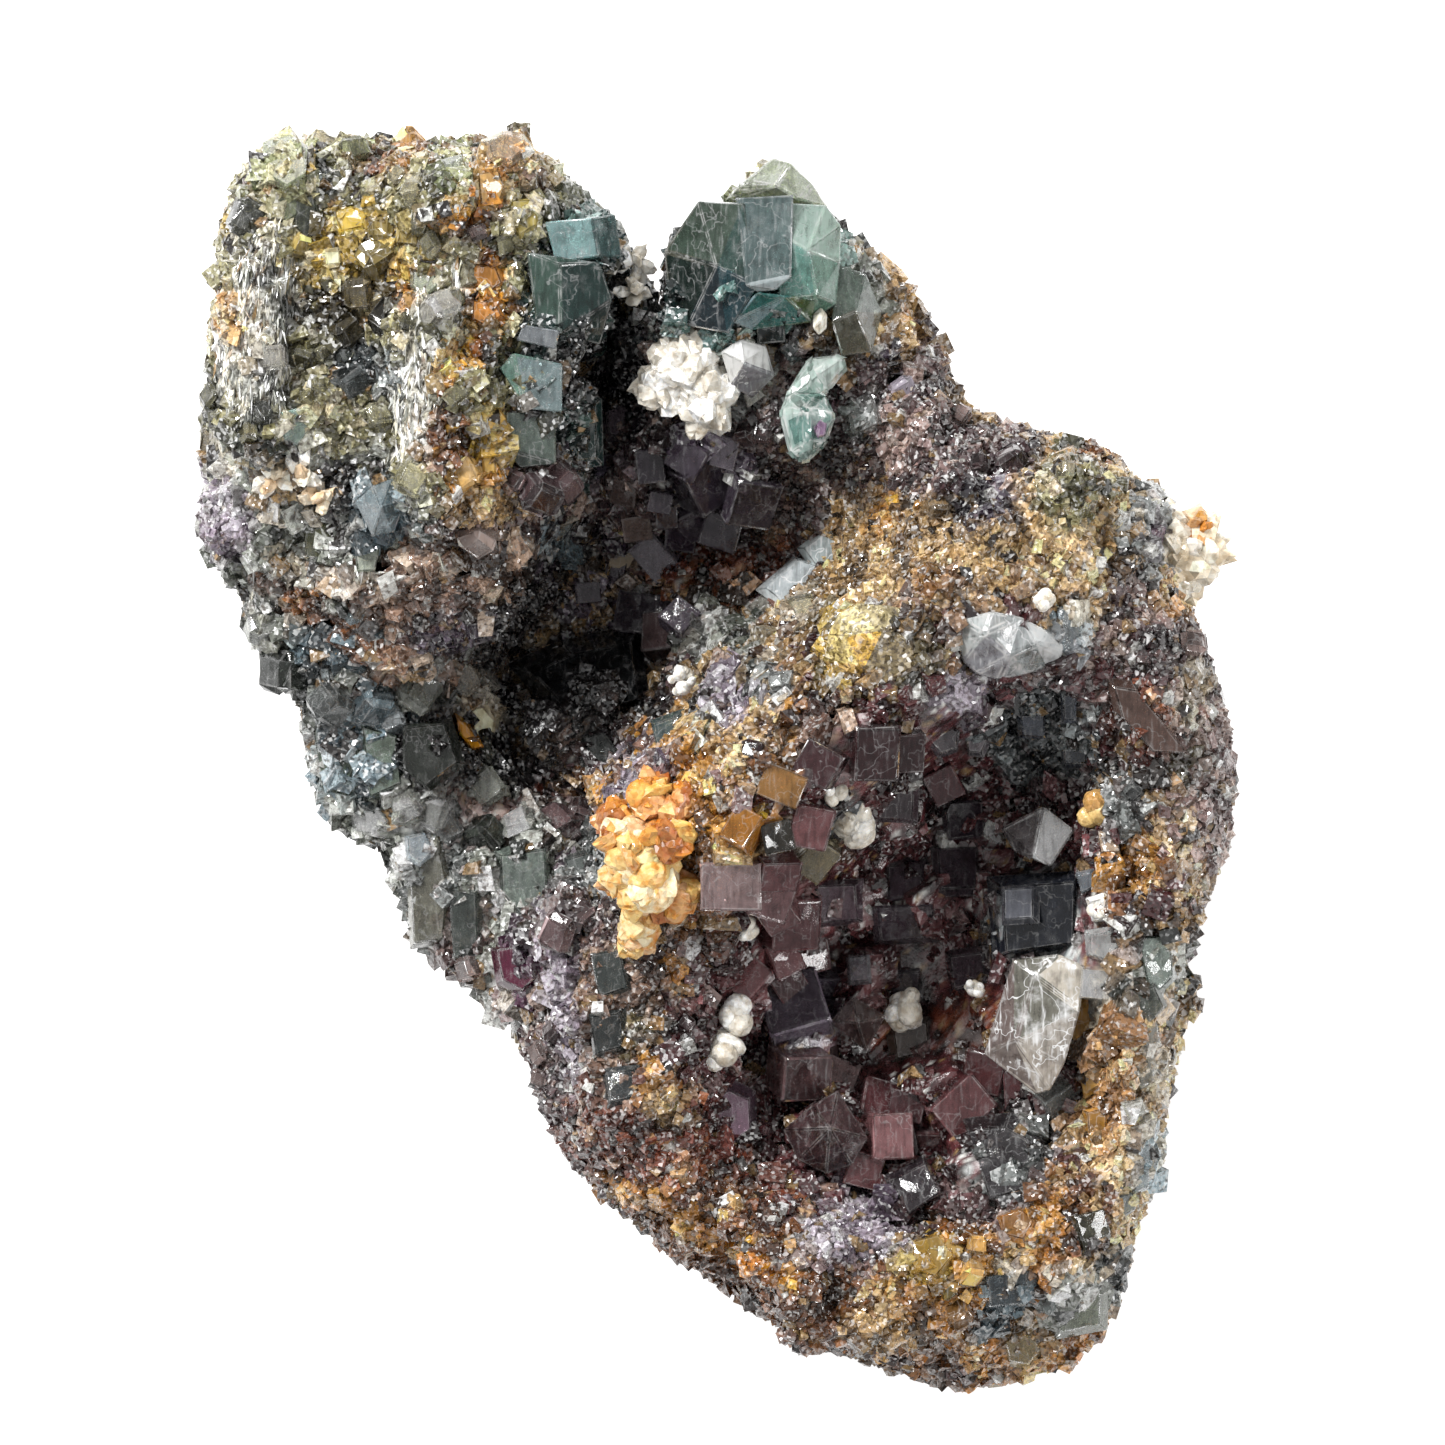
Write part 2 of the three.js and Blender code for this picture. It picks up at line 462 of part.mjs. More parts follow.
// Regions of the specimen, as tools that part it

function prism(corners, bottom, top, grow) {
  const outline = corners.map((corner) => new THREE.Vector2(...corner));
  const centre = new THREE.Vector2();
  outline.forEach((corner) => centre.addScaledVector(corner, 1 / outline.length));
  outline.forEach((corner) => {
    const away = corner.clone().sub(centre).normalize();
    corner.addScaledVector(away, 1.5 * grow);
  });
  const depth = top - bottom + grow;
  const geometry = new THREE.ExtrudeGeometry(new THREE.Shape(outline), { depth, bevelEnabled: false });
  geometry.translate(0, 0, bottom - grow);
  return toSolid(geometry);
}

// A cup: an ellipsoid's lower half with straight walls above it
function cup({ at, reach, depth, turn }, grow) {
  const profile = [];
  for (let step = 0; step <= CUP_STEPS; step += 1) {
    const angle = (step / CUP_STEPS) * 0.5 * Math.PI;
    profile.push(new THREE.Vector2(Math.sin(angle), -Math.cos(angle)));
  }
  profile.push(new THREE.Vector2(1, 1), new THREE.Vector2(0, 1));
  const geometry = new THREE.LatheGeometry(profile, CUP_SIDES);
  geometry.rotateX(radians(90));
  geometry.scale(reach[0] + grow, reach[1] + grow, depth + grow);
  geometry.rotateZ(radians(turn));
  geometry.translate(...at);
  return toSolid(geometry);
}

function material(color, roughness) {
  return new THREE.MeshStandardMaterial({ color, roughness, metalness: 0 });
}

const specimen = new THREE.Group();
let rock = rockBody();

function addPiece(name, solid, look) {
  const mesh = new THREE.Mesh(toGeometry(largestBody(solid)), look);
  mesh.name = name;
  specimen.add(mesh);
}

// The crystals that stand in sockets of their own
const calcite = material(0xebe6dc, 0.45);
const sockets = [];
Object.entries(CALCITE_GROUPS).forEach(([name, group]) => {
  addPiece(name, calciteGroup(group), calcite);
  sockets.push(socket(calciteGroup(group, GAP)));
});
addPiece('ochre_calcite', join(OCHRE_KNOBS.map((knob) => calciteBlade(knob))), material(0xe0ae62, 0.5));
sockets.push(socket(join(OCHRE_KNOBS.map((knob) => calciteBlade(knob, GAP)))));
addPiece('clear_crystal', pointedCrystal(CLEAR_CRYSTAL, 6), material(0xc9cdd2, 0.08));
sockets.push(pointedCrystal(CLEAR_CRYSTAL, 6, GAP));
addPiece('green_tooth', pointedCrystal(GREEN_TOOTH, 4), material(0xb4c2a6, 0.2));
sockets.push(pointedCrystal(GREEN_TOOTH, 4, GAP));
const taken = join(sockets);
rock = rock.subtract(taken);

// The masses of fluorite: each is a region of the rock with its own crystals
const regions = [
  {
    name: 'green_fluorite_block',
    look: material(0x9a9d86, 0.35),
    tool: (grow) => prism(BLOCK_REGION, BLOCK_BASE, ABOVE_ALL, grow),
    crystals: [...BLOCK_CRYSTALS.map(crystalBlock), ...smallCubes(SMALL_CUBES.block)],
  },
  {
    name: 'top_fluorite',
    look: material(0x8ea3a0, 0.2),
    tool: (grow) => prism(TOP_REGION, TOP_BASE, ABOVE_ALL, grow),
    crystals: TOP_CRYSTALS.map(crystalBlock),
  },
  {
    name: 'cavity_crust',
    look: material(0x3a3238, 0.2),
    tool: (grow) => cup(CAVITY_CUP, grow),
    crystals: [...CAVITY_CRYSTALS.map(crystalBlock), ...smallCubes(SMALL_CUBES.cavity)],
  },
  {
    name: 'slope_fluorite',
    look: material(0x76807a, 0.2),
    tool: (grow) => prism(SLOPE_REGION, SLOPE_BASE, ABOVE_ALL, grow),
    crystals: SLOPE_CRYSTALS.map(crystalBlock),
  },
  {
    name: 'bowl_crust',
    look: material(0x4e4450, 0.2),
    tool: (grow) => cup(BOWL_CUP, grow),
    crystals: [...BOWL_CRYSTALS.map(crystalBlock), ...smallCubes(SMALL_CUBES.bowl)],
  },
];

let occupied = taken;
regions.forEach(({ name, look, tool, crystals }) => {
  const mass = rock.add(join(crystals)).intersect(tool(0)).subtract(occupied);
  addPiece(name, mass, look);
  rock = rock.subtract(tool(GAP));
  occupied = occupied.add(tool(GAP));
});

// What is left is the rock plate, with its druzy grains
const druse = ['plateau', 'ridge', 'westRim', 'southRim', 'eastRim', 'lilacLobe', 'brownSlope']
  .flatMap((place) => smallCubes(SMALL_CUBES[place]));
addPiece('matrix_rock', rock.add(join(druse).subtract(occupied)), material(0x7d6e6c, 0.75));

// The origin is the middle of the bounding box, on the surface the specimen rests on
const bounds = new THREE.Box3().setFromObject(specimen);
const middle = bounds.getCenter(new THREE.Vector3());
specimen.position.set(-middle.x, -middle.y, -bounds.min.z);

export default specimen;
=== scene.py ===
"""Fluorite crystal cluster: a hand specimen of fluorite, calcite and rock on a pale floor."""

import json
from math import cos, radians, sin

import bpy
import numpy as np
from bpy.props import FloatProperty, FloatVectorProperty, PointerProperty
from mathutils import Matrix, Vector
from mathutils.bvhtree import BVHTree

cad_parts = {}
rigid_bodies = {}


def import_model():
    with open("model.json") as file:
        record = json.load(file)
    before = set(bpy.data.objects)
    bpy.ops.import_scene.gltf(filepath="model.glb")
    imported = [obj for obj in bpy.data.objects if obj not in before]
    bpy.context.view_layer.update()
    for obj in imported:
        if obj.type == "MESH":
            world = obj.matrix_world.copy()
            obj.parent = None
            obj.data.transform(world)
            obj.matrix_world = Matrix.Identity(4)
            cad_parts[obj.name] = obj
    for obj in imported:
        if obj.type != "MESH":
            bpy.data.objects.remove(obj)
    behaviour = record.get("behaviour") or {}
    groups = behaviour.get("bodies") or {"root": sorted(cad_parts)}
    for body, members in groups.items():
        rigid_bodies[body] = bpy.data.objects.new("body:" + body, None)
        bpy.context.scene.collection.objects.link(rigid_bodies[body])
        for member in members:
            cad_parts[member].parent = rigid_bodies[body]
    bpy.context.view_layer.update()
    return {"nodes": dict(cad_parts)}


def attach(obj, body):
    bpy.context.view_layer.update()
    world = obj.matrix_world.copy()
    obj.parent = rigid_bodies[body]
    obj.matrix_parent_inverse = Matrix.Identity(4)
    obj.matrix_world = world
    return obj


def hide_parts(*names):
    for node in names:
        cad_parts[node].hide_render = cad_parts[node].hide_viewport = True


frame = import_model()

bl_info = {
    "name": "Fluorite crystal cluster",
    "version": (1, 0, 0),
    "blender": (4, 5, 0),
    "location": "3D View > Sidebar > Specimen",
    "description": "Dresses the specimen's solids in rock skin, druse, fluorite cubes and calcite",
    "category": "Add Mesh",
}

MM = 0.001
BODY = "root"
LOWEST = 0.02  # no grain reaches lower, in millimetres
BORDER_BLUR = 0.7  # millimetres over which one mineral's shade runs into the next
OWN_SHADE = 0.6  # a grain's share of its own mineral's shade, the rest being its neighbour's
FULL_TURN = 6.283  # radians
# How far the brightness of a side strays from its crystal's, as painted light and shade that
# differs from side to side: of most shapes, and of some
SIDE_STRAY = 0.28
SIDE_STRAYS = {"worn": 0.45, "petal": 0.14, "lump": 0.08}

# Where the photograph was taken from, in millimetres, its size in pixels, and its scale at the
# height of most crystals
LENS_AT = np.array([0.474, 2.551, 420.0])
LENS_LENGTH = 178.0
SENSOR = 36.0
PHOTO = 1445
FACE_HEIGHT = 20.0
PIXELS_PER_MM = LENS_LENGTH / SENSOR * PHOTO / (LENS_AT[2] - FACE_HEIGHT)
# The middle of the CAD source's own sketch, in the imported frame's millimetres
SKETCH = np.array([-0.114, 0.059, 0.0])

# Minerals

# What each mineral looks like: the shape of its grains, their smallest and largest width in
# millimetres, and its shades with their shares
MINERALS = {
    "olive": ("chip", 0.35, 1.15, (
        (3, (186, 190, 160)), (3, (148, 150, 116)), (2, (108, 110, 86)), (1.2, (66, 68, 54)),
        (1, (226, 224, 200)))),
    "olive_yellow": ("chip", 0.35, 1.2, (
        (3, (202, 178, 98)), (3, (168, 146, 76)), (2, (218, 204, 142)), (1.5, (104, 92, 52)),
        (0.8, (240, 230, 186)))),
    "olive_dark": ("chip", 0.35, 1.0, (
        (3, (96, 90, 66)), (3, (68, 64, 50)), (2, (126, 118, 90)), (1.5, (42, 40, 32)),
        (0.4, (190, 186, 160)))),
    "pale_green": ("chip", 0.4, 1.4, (
        (3, (208, 217, 184)), (3, (168, 184, 144)), (2, (234, 238, 220)), (1.6, (112, 126, 94)))),
    # Its near-white shades are painted glints, and its darkest painted shade between the striations
    "silver": ("column", 0.14, 0.32, (
        (3.2, (238, 238, 234)), (3, (190, 191, 184)), (1.8, (128, 129, 120)),
        (0.7, (70, 72, 66)), (1.2, (212, 204, 180)))),
    "steel": ("chip", 0.35, 0.9, (
        (3, (98, 104, 106)), (3, (68, 74, 76)), (2, (140, 148, 148)), (2, (42, 46, 48)),
        (0.6, (206, 212, 210)))),
    "ochre": ("chip", 0.3, 0.95, (
        (3.5, (196, 154, 84)), (2, (222, 184, 118)), (2.5, (162, 118, 62)), (1.5, (112, 80, 44)),
        (0.8, (240, 220, 172)))),
    "orange": ("chip", 0.3, 0.95, (
        (4, (206, 140, 40)), (2.4, (236, 180, 76)), (2.5, (160, 98, 30)), (1.2, (96, 56, 22)),
        (0.5, (244, 214, 150)))),
    "yellow": ("cube", 0.6, 1.6, (
        (3, (228, 190, 84)), (3, (202, 158, 58)), (2, (240, 218, 142)), (1, (142, 106, 44)))),
    "rust": ("chip", 0.35, 0.95, (
        (3.5, (130, 86, 58)), (3, (96, 63, 45)), (2, (158, 112, 76)), (2, (58, 38, 29)),
        (0.4, (214, 184, 140)))),
    "tan": ("chip", 0.3, 0.85, (
        (3, (204, 186, 158)), (3, (170, 152, 126)), (2, (226, 214, 190)), (1.8, (122, 106, 86)),
        (0.8, (78, 66, 54)))),
    "peach": ("chip", 0.3, 0.9, (
        (3, (238, 208, 174)), (2.5, (216, 182, 146)), (2, (248, 232, 210)), (1.5, (160, 128, 100)))),
    "pale_tan": ("chip", 0.3, 0.9, (
        (3, (242, 228, 206)), (3, (220, 204, 178)), (2.4, (252, 248, 238)), (1.5, (168, 144, 112)),
        (0.6, (92, 74, 56)))),
    "pink_brown": ("chip", 0.35, 0.95, (
        (3, (158, 134, 124)), (3, (120, 98, 90)), (2.2, (198, 178, 168)), (2.6, (64, 50, 46)),
        (1, (232, 220, 212)))),
    "teal": ("cube", 0.6, 1.5, (
        (3, (72, 108, 108)), (2.5, (44, 76, 78)), (2, (116, 152, 146)), (2, (24, 44, 48)),
        (0.6, (176, 200, 192)))),
    "teal_dark": ("chip", 0.5, 1.3, (
        (3, (18, 32, 32)), (3, (30, 50, 48)), (2.4, (10, 18, 19)), (0.8, (74, 98, 92)))),
    "teal_pale": ("cube", 0.6, 1.4, (
        (3, (156, 184, 176)), (3, (122, 154, 146)), (2, (190, 210, 202)), (1, (84, 116, 110)))),
    "purple": ("cube", 0.5, 1.5, (
        (3, (108, 64, 72)), (3, (80, 42, 50)), (1.4, (118, 86, 96)), (2.6, (38, 18, 23)),
        (0.4, (146, 124, 134)))),
    "violet": ("chip", 0.3, 0.8, (
        (3, (82, 68, 84)), (3, (58, 47, 60)), (2, (114, 100, 116)), (1.6, (34, 27, 36)),
        (0.4, (170, 158, 174)))),
    "plateau": ("chip", 0.3, 0.8, (
        (3, (106, 88, 94)), (3, (77, 61, 69)), (1.8, (140, 123, 127)), (2.2, (46, 35, 41)),
        (1, (188, 174, 176)))),
    "lilac": ("chip", 0.25, 0.7, (
        (3.5, (188, 176, 188)), (2.2, (218, 210, 220)), (2.5, (148, 134, 148)),
        (1.5, (102, 88, 104)), (0.8, (240, 236, 242)))),
    "lilac_rose": ("chip", 0.3, 0.9, (
        (3, (176, 158, 162)), (2.5, (142, 124, 130)), (2, (208, 196, 200)), (1.8, (98, 82, 88)))),
    "glass_grey": ("cube", 0.5, 1.3, (
        (3, (152, 156, 154)), (3, (108, 112, 110)), (2, (198, 200, 198)), (2, (62, 64, 64)),
        (0.9, (232, 234, 233)))),
    # Its near-white shade is painted glints on the glassy crystals
    "glass_green": ("cube", 0.5, 1.4, (
        (2.8, (158, 162, 150)), (3, (104, 108, 98)), (2.4, (208, 211, 202)), (2.6, (34, 38, 33)),
        (3, (246, 247, 242)))),
    "blue_grey": ("cube", 0.6, 1.5, (
        (3, (138, 156, 164)), (3, (100, 118, 126)), (2, (178, 196, 202)), (2, (54, 68, 76)),
        (0.6, (214, 224, 228)))),
    # Near-black, laid where hollows and gaps lie deep in shadow: painted shade
    "black": ("chip", 0.4, 1.0, (
        (3, (20, 17, 18)), (3, (30, 26, 26)), (2, (10, 9, 10)), (0.7, (52, 46, 48)))),
    "cream": ("chip", 0.4, 1.0, (
        (3, (236, 226, 206)), (2.5, (216, 202, 178)), (2, (246, 241, 230)),
        (1, (182, 166, 138)))),
    "brown": ("chip", 0.35, 0.95, (
        (3, (112, 56, 42)), (3, (130, 76, 56)), (2.6, (56, 28, 21)), (1.2, (164, 110, 84)),
        (0.4, (196, 164, 138)))),
    "maroon": ("cube", 0.6, 1.4, (
        (3, (84, 44, 70)), (3, (58, 30, 50)), (1.5, (114, 74, 98)))),
    "honey": ("chip", 0.3, 0.95, (
        (3, (196, 146, 84)), (3, (150, 104, 54)), (2, (226, 186, 128)), (2, (86, 57, 32)),
        (0.8, (242, 228, 202)))),
    "matrix": ("chip", 0.4, 1.1, (
        (3, (128, 118, 108)), (3, (98, 89, 82)), (2, (158, 148, 136)), (2, (68, 60, 56)),
        (0.8, (196, 190, 180)))),
}

# Where each mineral shows on the display face: middle and half axes in pixels of the photograph,
# the mineral, and the turn in degrees if there is one. A later patch lies over the earlier ones.
# The black patches are painted shade, where the hollows and gaps lie deep in shadow
PATCHES = (
    # The broad masses
    (380, 310, 190, 200, "olive"),
    (540, 170, 80, 60, "olive"),
    (232, 400, 50, 130, "olive"),
    (585, 330, 70, 130, "teal_dark"),
    (300, 530, 120, 100, "glass_green"),
    (330, 660, 120, 110, "glass_green"),
    (440, 640, 110, 110, "pink_brown"),
    (400, 820, 120, 130, "glass_green", 20),
    (490, 900, 90, 110, "glass_green"),
    (600, 500, 120, 90, "plateau"),
    (740, 260, 90, 90, "teal"),
    (870, 300, 60, 90, "tan"),
    (790, 460, 140, 90, "plateau"),
    (960, 450, 150, 90, "plateau", 12),
    (1090, 520, 100, 110, "pale_tan", 30),
    (1170, 640, 60, 160, "plateau"),
    (1200, 800, 50, 140, "lilac_rose"),
    (850, 640, 240, 80, "tan", -41),
    (700, 830, 120, 100, "ochre", -38),
    (600, 1020, 100, 200, "plateau", -8),
    (700, 1170, 150, 80, "brown", 30),
    (830, 1290, 220, 60, "rust", 18),
    (1010, 1320, 130, 90, "honey"),
    (960, 1300, 80, 60, "ochre", 20),
    (1140, 1060, 70, 250, "pale_tan", 6),
    (930, 900, 230, 290, "purple", 12),
    (560, 650, 110, 110, "black"),
    (640, 570, 90, 60, "violet"),
    # The green block
    (283, 157, 30, 26, "pale_green"),
    (300, 160, 9, 14, "olive_yellow"),
    (322, 178, 12, 18, "steel"),
    (357, 140, 18, 15, "pale_green"),
    (388, 160, 46, 13, "rust", -14),
    (404, 150, 22, 13, "ochre"),
    (352, 212, 26, 14, "olive_yellow"),
    (455, 172, 18, 24, "pale_green"),
    (488, 192, 17, 32, "orange"),
    (522, 152, 28, 20, "peach"),
    (532, 184, 16, 12, "pink_brown"),
    (568, 196, 15, 18, "glass_green"),
    (222, 204, 12, 16, "silver"),
    (228, 230, 13, 14, "olive_yellow"),
    (262, 330, 44, 105, "silver", 3),
    (226, 312, 13, 26, "peach"),
    (264, 350, 13, 18, "cream"),
    (222, 380, 14, 46, "silver"),
    (360, 246, 62, 42, "olive_yellow"),
    (345, 312, 54, 28, "olive_dark"),
    (365, 372, 38, 32, "steel"),
    (340, 420, 44, 30, "olive"),
    (412, 400, 20, 78, "silver", 3),
    (422, 305, 20, 28, "silver"),
    (457, 275, 9, 38, "silver"),
    (390, 478, 13, 30, "silver"),
    (465, 232, 13, 20, "lilac_rose"),
    (438, 226, 10, 12, "rust"),
    (489, 292, 24, 40, "orange"),
    (466, 355, 22, 28, "orange"),
    (400, 287, 10, 24, "orange"),
    (449, 368, 19, 20, "orange"),
    (463, 222, 24, 12, "orange"),
    (445, 440, 17, 42, "pink_brown"),
    (470, 470, 30, 32, "ochre"),
    (450, 430, 20, 34, "rust"),
    (490, 430, 18, 26, "yellow"),
    (485, 502, 46, 20, "tan"),
    (580, 236, 24, 14, "teal_pale"),
    (610, 234, 13, 22, "teal"),
    (580, 292, 24, 38, "teal_dark"),
    (614, 302, 12, 32, "olive_dark"),
    (633, 262, 9, 9, "cream"),
    (635, 292, 7, 8, "cream"),
    (606, 368, 50, 42, "black"),
    (582, 436, 26, 40, "teal_dark"),
    # Left of the hollow
    (337, 502, 40, 50, "black"),
    (290, 478, 32, 22, "tan"),
    (380, 510, 26, 30, "blue_grey"),
    (228, 466, 16, 18, "cream"),
    (222, 522, 32, 44, "lilac"),
    (310, 538, 30, 36, "glass_green"),
    (292, 557, 9, 13, "cream"),
    (318, 580, 13, 15, "orange"),
    (272, 606, 30, 38, "silver"),
    (282, 645, 20, 40, "glass_green"),
    (342, 652, 42, 34, "blue_grey"),
    (365, 566, 18, 26, "silver"),
    (335, 628, 100, 13, "rust", 36),
    (455, 580, 70, 55, "pink_brown"),
    (445, 640, 40, 24, "violet"),
    (552, 534, 26, 20, "blue_grey"),
    (620, 425, 26, 22, "plateau"),
    (606, 466, 18, 12, "lilac"),
    (660, 455, 26, 28, "plateau"),
    (588, 502, 13, 8, "cream"),
    (520, 640, 42, 46, "black"),
    (672, 572, 32, 30, "brown"),
    (724, 628, 36, 54, "glass_green"),
    # The top cubes and what stands under them
    (690, 262, 26, 62, "teal_dark"),
    (730, 268, 16, 62, "teal"),
    (770, 240, 24, 34, "steel"),
    (815, 262, 26, 38, "teal_pale"),
    (775, 182, 48, 28, "pale_green"),
    (780, 312, 40, 16, "teal_dark"),
    (860, 304, 22, 34, "glass_green"),
    (876, 248, 26, 14, "peach"),
    (908, 318, 26, 50, "tan"),
    (905, 320, 12, 14, "ochre"),
    (884, 372, 14, 24, "violet"),
    (654, 312, 15, 14, "steel"),
    (748, 368, 28, 30, "cream"),
    (745, 405, 20, 11, "glass_grey"),
    (855, 420, 17, 21, "glass_grey"),
    (822, 430, 9, 16, "violet"),
    (700, 470, 46, 40, "violet"),
    (740, 545, 46, 36, "brown"),
    # The plateau and the east side
    (960, 455, 84, 62, "plateau", 8),
    (970, 400, 34, 20, "tan", 10),
    (985, 505, 28, 26, "violet"),
    (900, 440, 30, 34, "lilac_rose"),
    (1075, 490, 34, 40, "olive", 20),
    (1100, 455, 24, 18, "rust"),
    (1145, 545, 22, 56, "glass_grey"),
    (1160, 535, 9, 12, "maroon"),
    (1190, 590, 32, 34, "peach"),
    (885, 545, 78, 42, "tan"),
    (890, 512, 15, 14, "ochre"),
    (925, 580, 14, 12, "ochre"),
    (905, 602, 17, 13, "pink_brown"),
    (845, 650, 26, 42, "olive_yellow", 20),
    (905, 655, 38, 36, "olive_dark"),
    (802, 608, 19, 18, "cream"),
    (1066, 632, 20, 30, "blue_grey"),
    (955, 690, 36, 24, "lilac", -38),
    (1188, 695, 13, 36, "cream"),
    (1190, 762, 20, 20, "olive_dark"),
    (1140, 715, 34, 40, "brown"),
    (1130, 620, 30, 50, "plateau"),
    (1210, 820, 22, 70, "lilac_rose"),
    (1135, 870, 28, 34, "ochre"),
    (1120, 800, 26, 40, "glass_grey"),
    # Down the ridge to the ochre spray
    (735, 708, 44, 54, "pale_tan"),
    (722, 700, 26, 30, "lilac"),
    (765, 680, 20, 24, "glass_grey"),
    (793, 700, 9, 12, "ochre"),
    (785, 760, 18, 24, "ochre"),
    (835, 725, 38, 28, "pink_brown"),
    (760, 815, 26, 18, "orange"),
    (645, 785, 38, 28, "lilac"),
    (620, 838, 22, 16, "orange"),
    (668, 800, 22, 22, "orange"),
    (645, 886, 28, 38, "cream"),
    (705, 836, 36, 38, "ochre"),
    (705, 920, 16, 40, "rust"),
    (640, 935, 14, 12, "cream"),
    (800, 845, 40, 24, "olive_dark"),
    (745, 855, 20, 16, "tan"),
    # Lower left slope
    (358, 762, 54, 50, "blue_grey"),
    (330, 700, 24, 30, "glass_grey"),
    (432, 765, 46, 42, "black"),
    (528, 765, 44, 42, "black"),
    (468, 826, 52, 24, "lilac_rose"),
    (480, 725, 22, 26, "cream"),
    (478, 742, 9, 9, "orange"),
    (425, 895, 30, 66, "glass_grey"),
    (452, 938, 22, 32, "lilac_rose"),
    (517, 885, 34, 46, "glass_green"),
    (515, 967, 25, 27, "maroon"),
    (520, 1018, 13, 15, "cream"),
    (590, 875, 30, 26, "glass_grey"),
    # The west rim and the foot
    (562, 1000, 18, 104, "lilac", -6),
    (612, 1020, 38, 82, "pink_brown"),
    (636, 1035, 25, 26, "olive_dark"),
    (670, 980, 12, 22, "ochre"),
    (655, 1070, 16, 32, "ochre"),
    (665, 1110, 26, 22, "tan"),
    (690, 1045, 30, 36, "purple"),
    (650, 1165, 52, 36, "brown", 20),
    (735, 1112, 32, 40, "purple"),
    (665, 1215, 84, 18, "ochre", 28),
    (722, 1195, 40, 24, "rust", 20),
    (755, 1272, 38, 18, "orange", 20),
    (835, 1315, 40, 26, "rust", 10),
    (930, 1260, 32, 32, "olive_yellow"),
    (946, 1238, 15, 14, "orange"),
    (850, 1232, 60, 40, "lilac"),
    (1005, 1292, 28, 22, "blue_grey"),
    (985, 1328, 17, 16, "blue_grey"),
    (1076, 1310, 38, 32, "glass_green"),
    (1025, 1346, 28, 24, "tan"),
    (995, 1388, 36, 18, "peach"),
    (880, 1335, 50, 22, "tan", 10),
    # The right rim
    (1112, 1078, 28, 90, "peach", 14),
    (1100, 1000, 22, 40, "cream", 20),
    (1055, 1215, 30, 38, "ochre"),
    (1155, 970, 26, 42, "glass_green"),
    (1150, 1070, 17, 34, "cream"),
    (1140, 1160, 14, 42, "blue_grey"),
    (1092, 1210, 22, 46, "rust"),
    (1110, 1280, 24, 34, "glass_grey"),
    # Inside the bowl
    (1030, 915, 52, 48, "steel"),
    (840, 820, 22, 20, "steel"),
    (900, 1045, 34, 26, "brown"),
    (975, 1035, 28, 36, "brown"),
    (1045, 1020, 52, 70, "glass_grey", 20),
    (800, 1030, 36, 34, "violet"),
    (1000, 1155, 44, 44, "glass_grey"),
    (900, 740, 70, 40, "purple"),
    (1040, 735, 60, 50, "steel"),
    (880, 1140, 110, 56, "purple"),
)
# The warm cast that iron gives to these minerals
WARMTH = (1.06, 0.94, 0.78)
WARM = ("olive", "olive_dark", "pink_brown", "plateau", "lilac_rose", "matrix", "tan", "brown",
        "purple", "pale_green", "ochre", "honey", "peach", "pale_tan")
# The stronger cast of those that iron stains
STAIN = (1.06, 0.96, 0.74)
STAINED = ("ochre", "honey", "tan", "pale_tan", "rust", "orange", "peach", "olive_yellow")
# The border of a patch: how far and over what width it bends, over what width and how much it is
# ragged, how much of that is chance, where it ends as a share of the patch's reach, and its softness
BEND_REACH, BEND_WIDTH = 8, 31
RAG_WIDTH, RAG, RAG_CHANCE, RAG_SEED = 8, 0.4, 0.3, 7
BORDER_END, BORDER_SOFTNESS = 1.3, 0.6
# Clouds of lighter and darker grains: how strong, how wide in pixels, and their seeds
CLOUDS = ((0.36, 30, 61), (0.44, 12, 62))
CLOUD_SLANT = 3  # pixels that the clouds shift with each millimetre down
# Grains strewn everywhere, the white ones painted glints and the rest grains of other minerals:
# their share, from and to, and shade
DUST_AND_GLINTS = ((0, 0.03, (236, 236, 230)), (0.03, 0.06, (44, 34, 28)), (0.06, 0.1, (158, 128, 88)))
BACK_MINERALS = ("matrix", "tan", "plateau", "brown", "glass_green")
BACK_HEIGHT = (5.0, 13.0)  # below the first the broken back shows, above the second the face
BACK_CELL = (9, 11)  # size of the back's mineral zones, across and up, in millimetres
BACK_VARIETY, BACK_CHANCE = 2.2, 0.4  # how much the zones and chance change the mineral there
SIDE_HEIGHT = (13.0, 24.0)  # between them the veins begin to wander as they go down the sides
SIDE_WANDER = 34  # how far they wander, in pixels of the photograph
SIDE_CELL = np.array([3.0, 9.0])  # down and along, in millimetres
BEND_SEEDS, SIDE_SEEDS, BACK_SEED = (1, 2), (3, 4), 5

# The outline as it shows in the photograph, where the solids are fuller: the way its corners are
# drawn in (0 across, 1 down), the side that lies outside, and its pixels
TRIMS = (
    (1, -1, ((606, 210), (617, 213), (623, 256), (637, 288), (641, 306), (650, 322), (664, 334),
             (676, 330), (682, 250), (704, 218))),
    (0, 1, ((868, 232), (884, 246), (895, 268), (912, 278), (919, 299), (925, 334), (930, 356),
            (934, 382))),
    (0, -1, ((195, 512), (209, 547), (229, 570), (250, 586), (258, 604), (264, 645), (278, 668),
             (296, 685), (316, 700), (313, 737), (311, 784), (328, 801), (334, 830), (396, 840),
             (397, 888), (406, 917), (426, 945), (455, 968))),
)
TRIMMED = 0.06  # how much of its way out a corner keeps
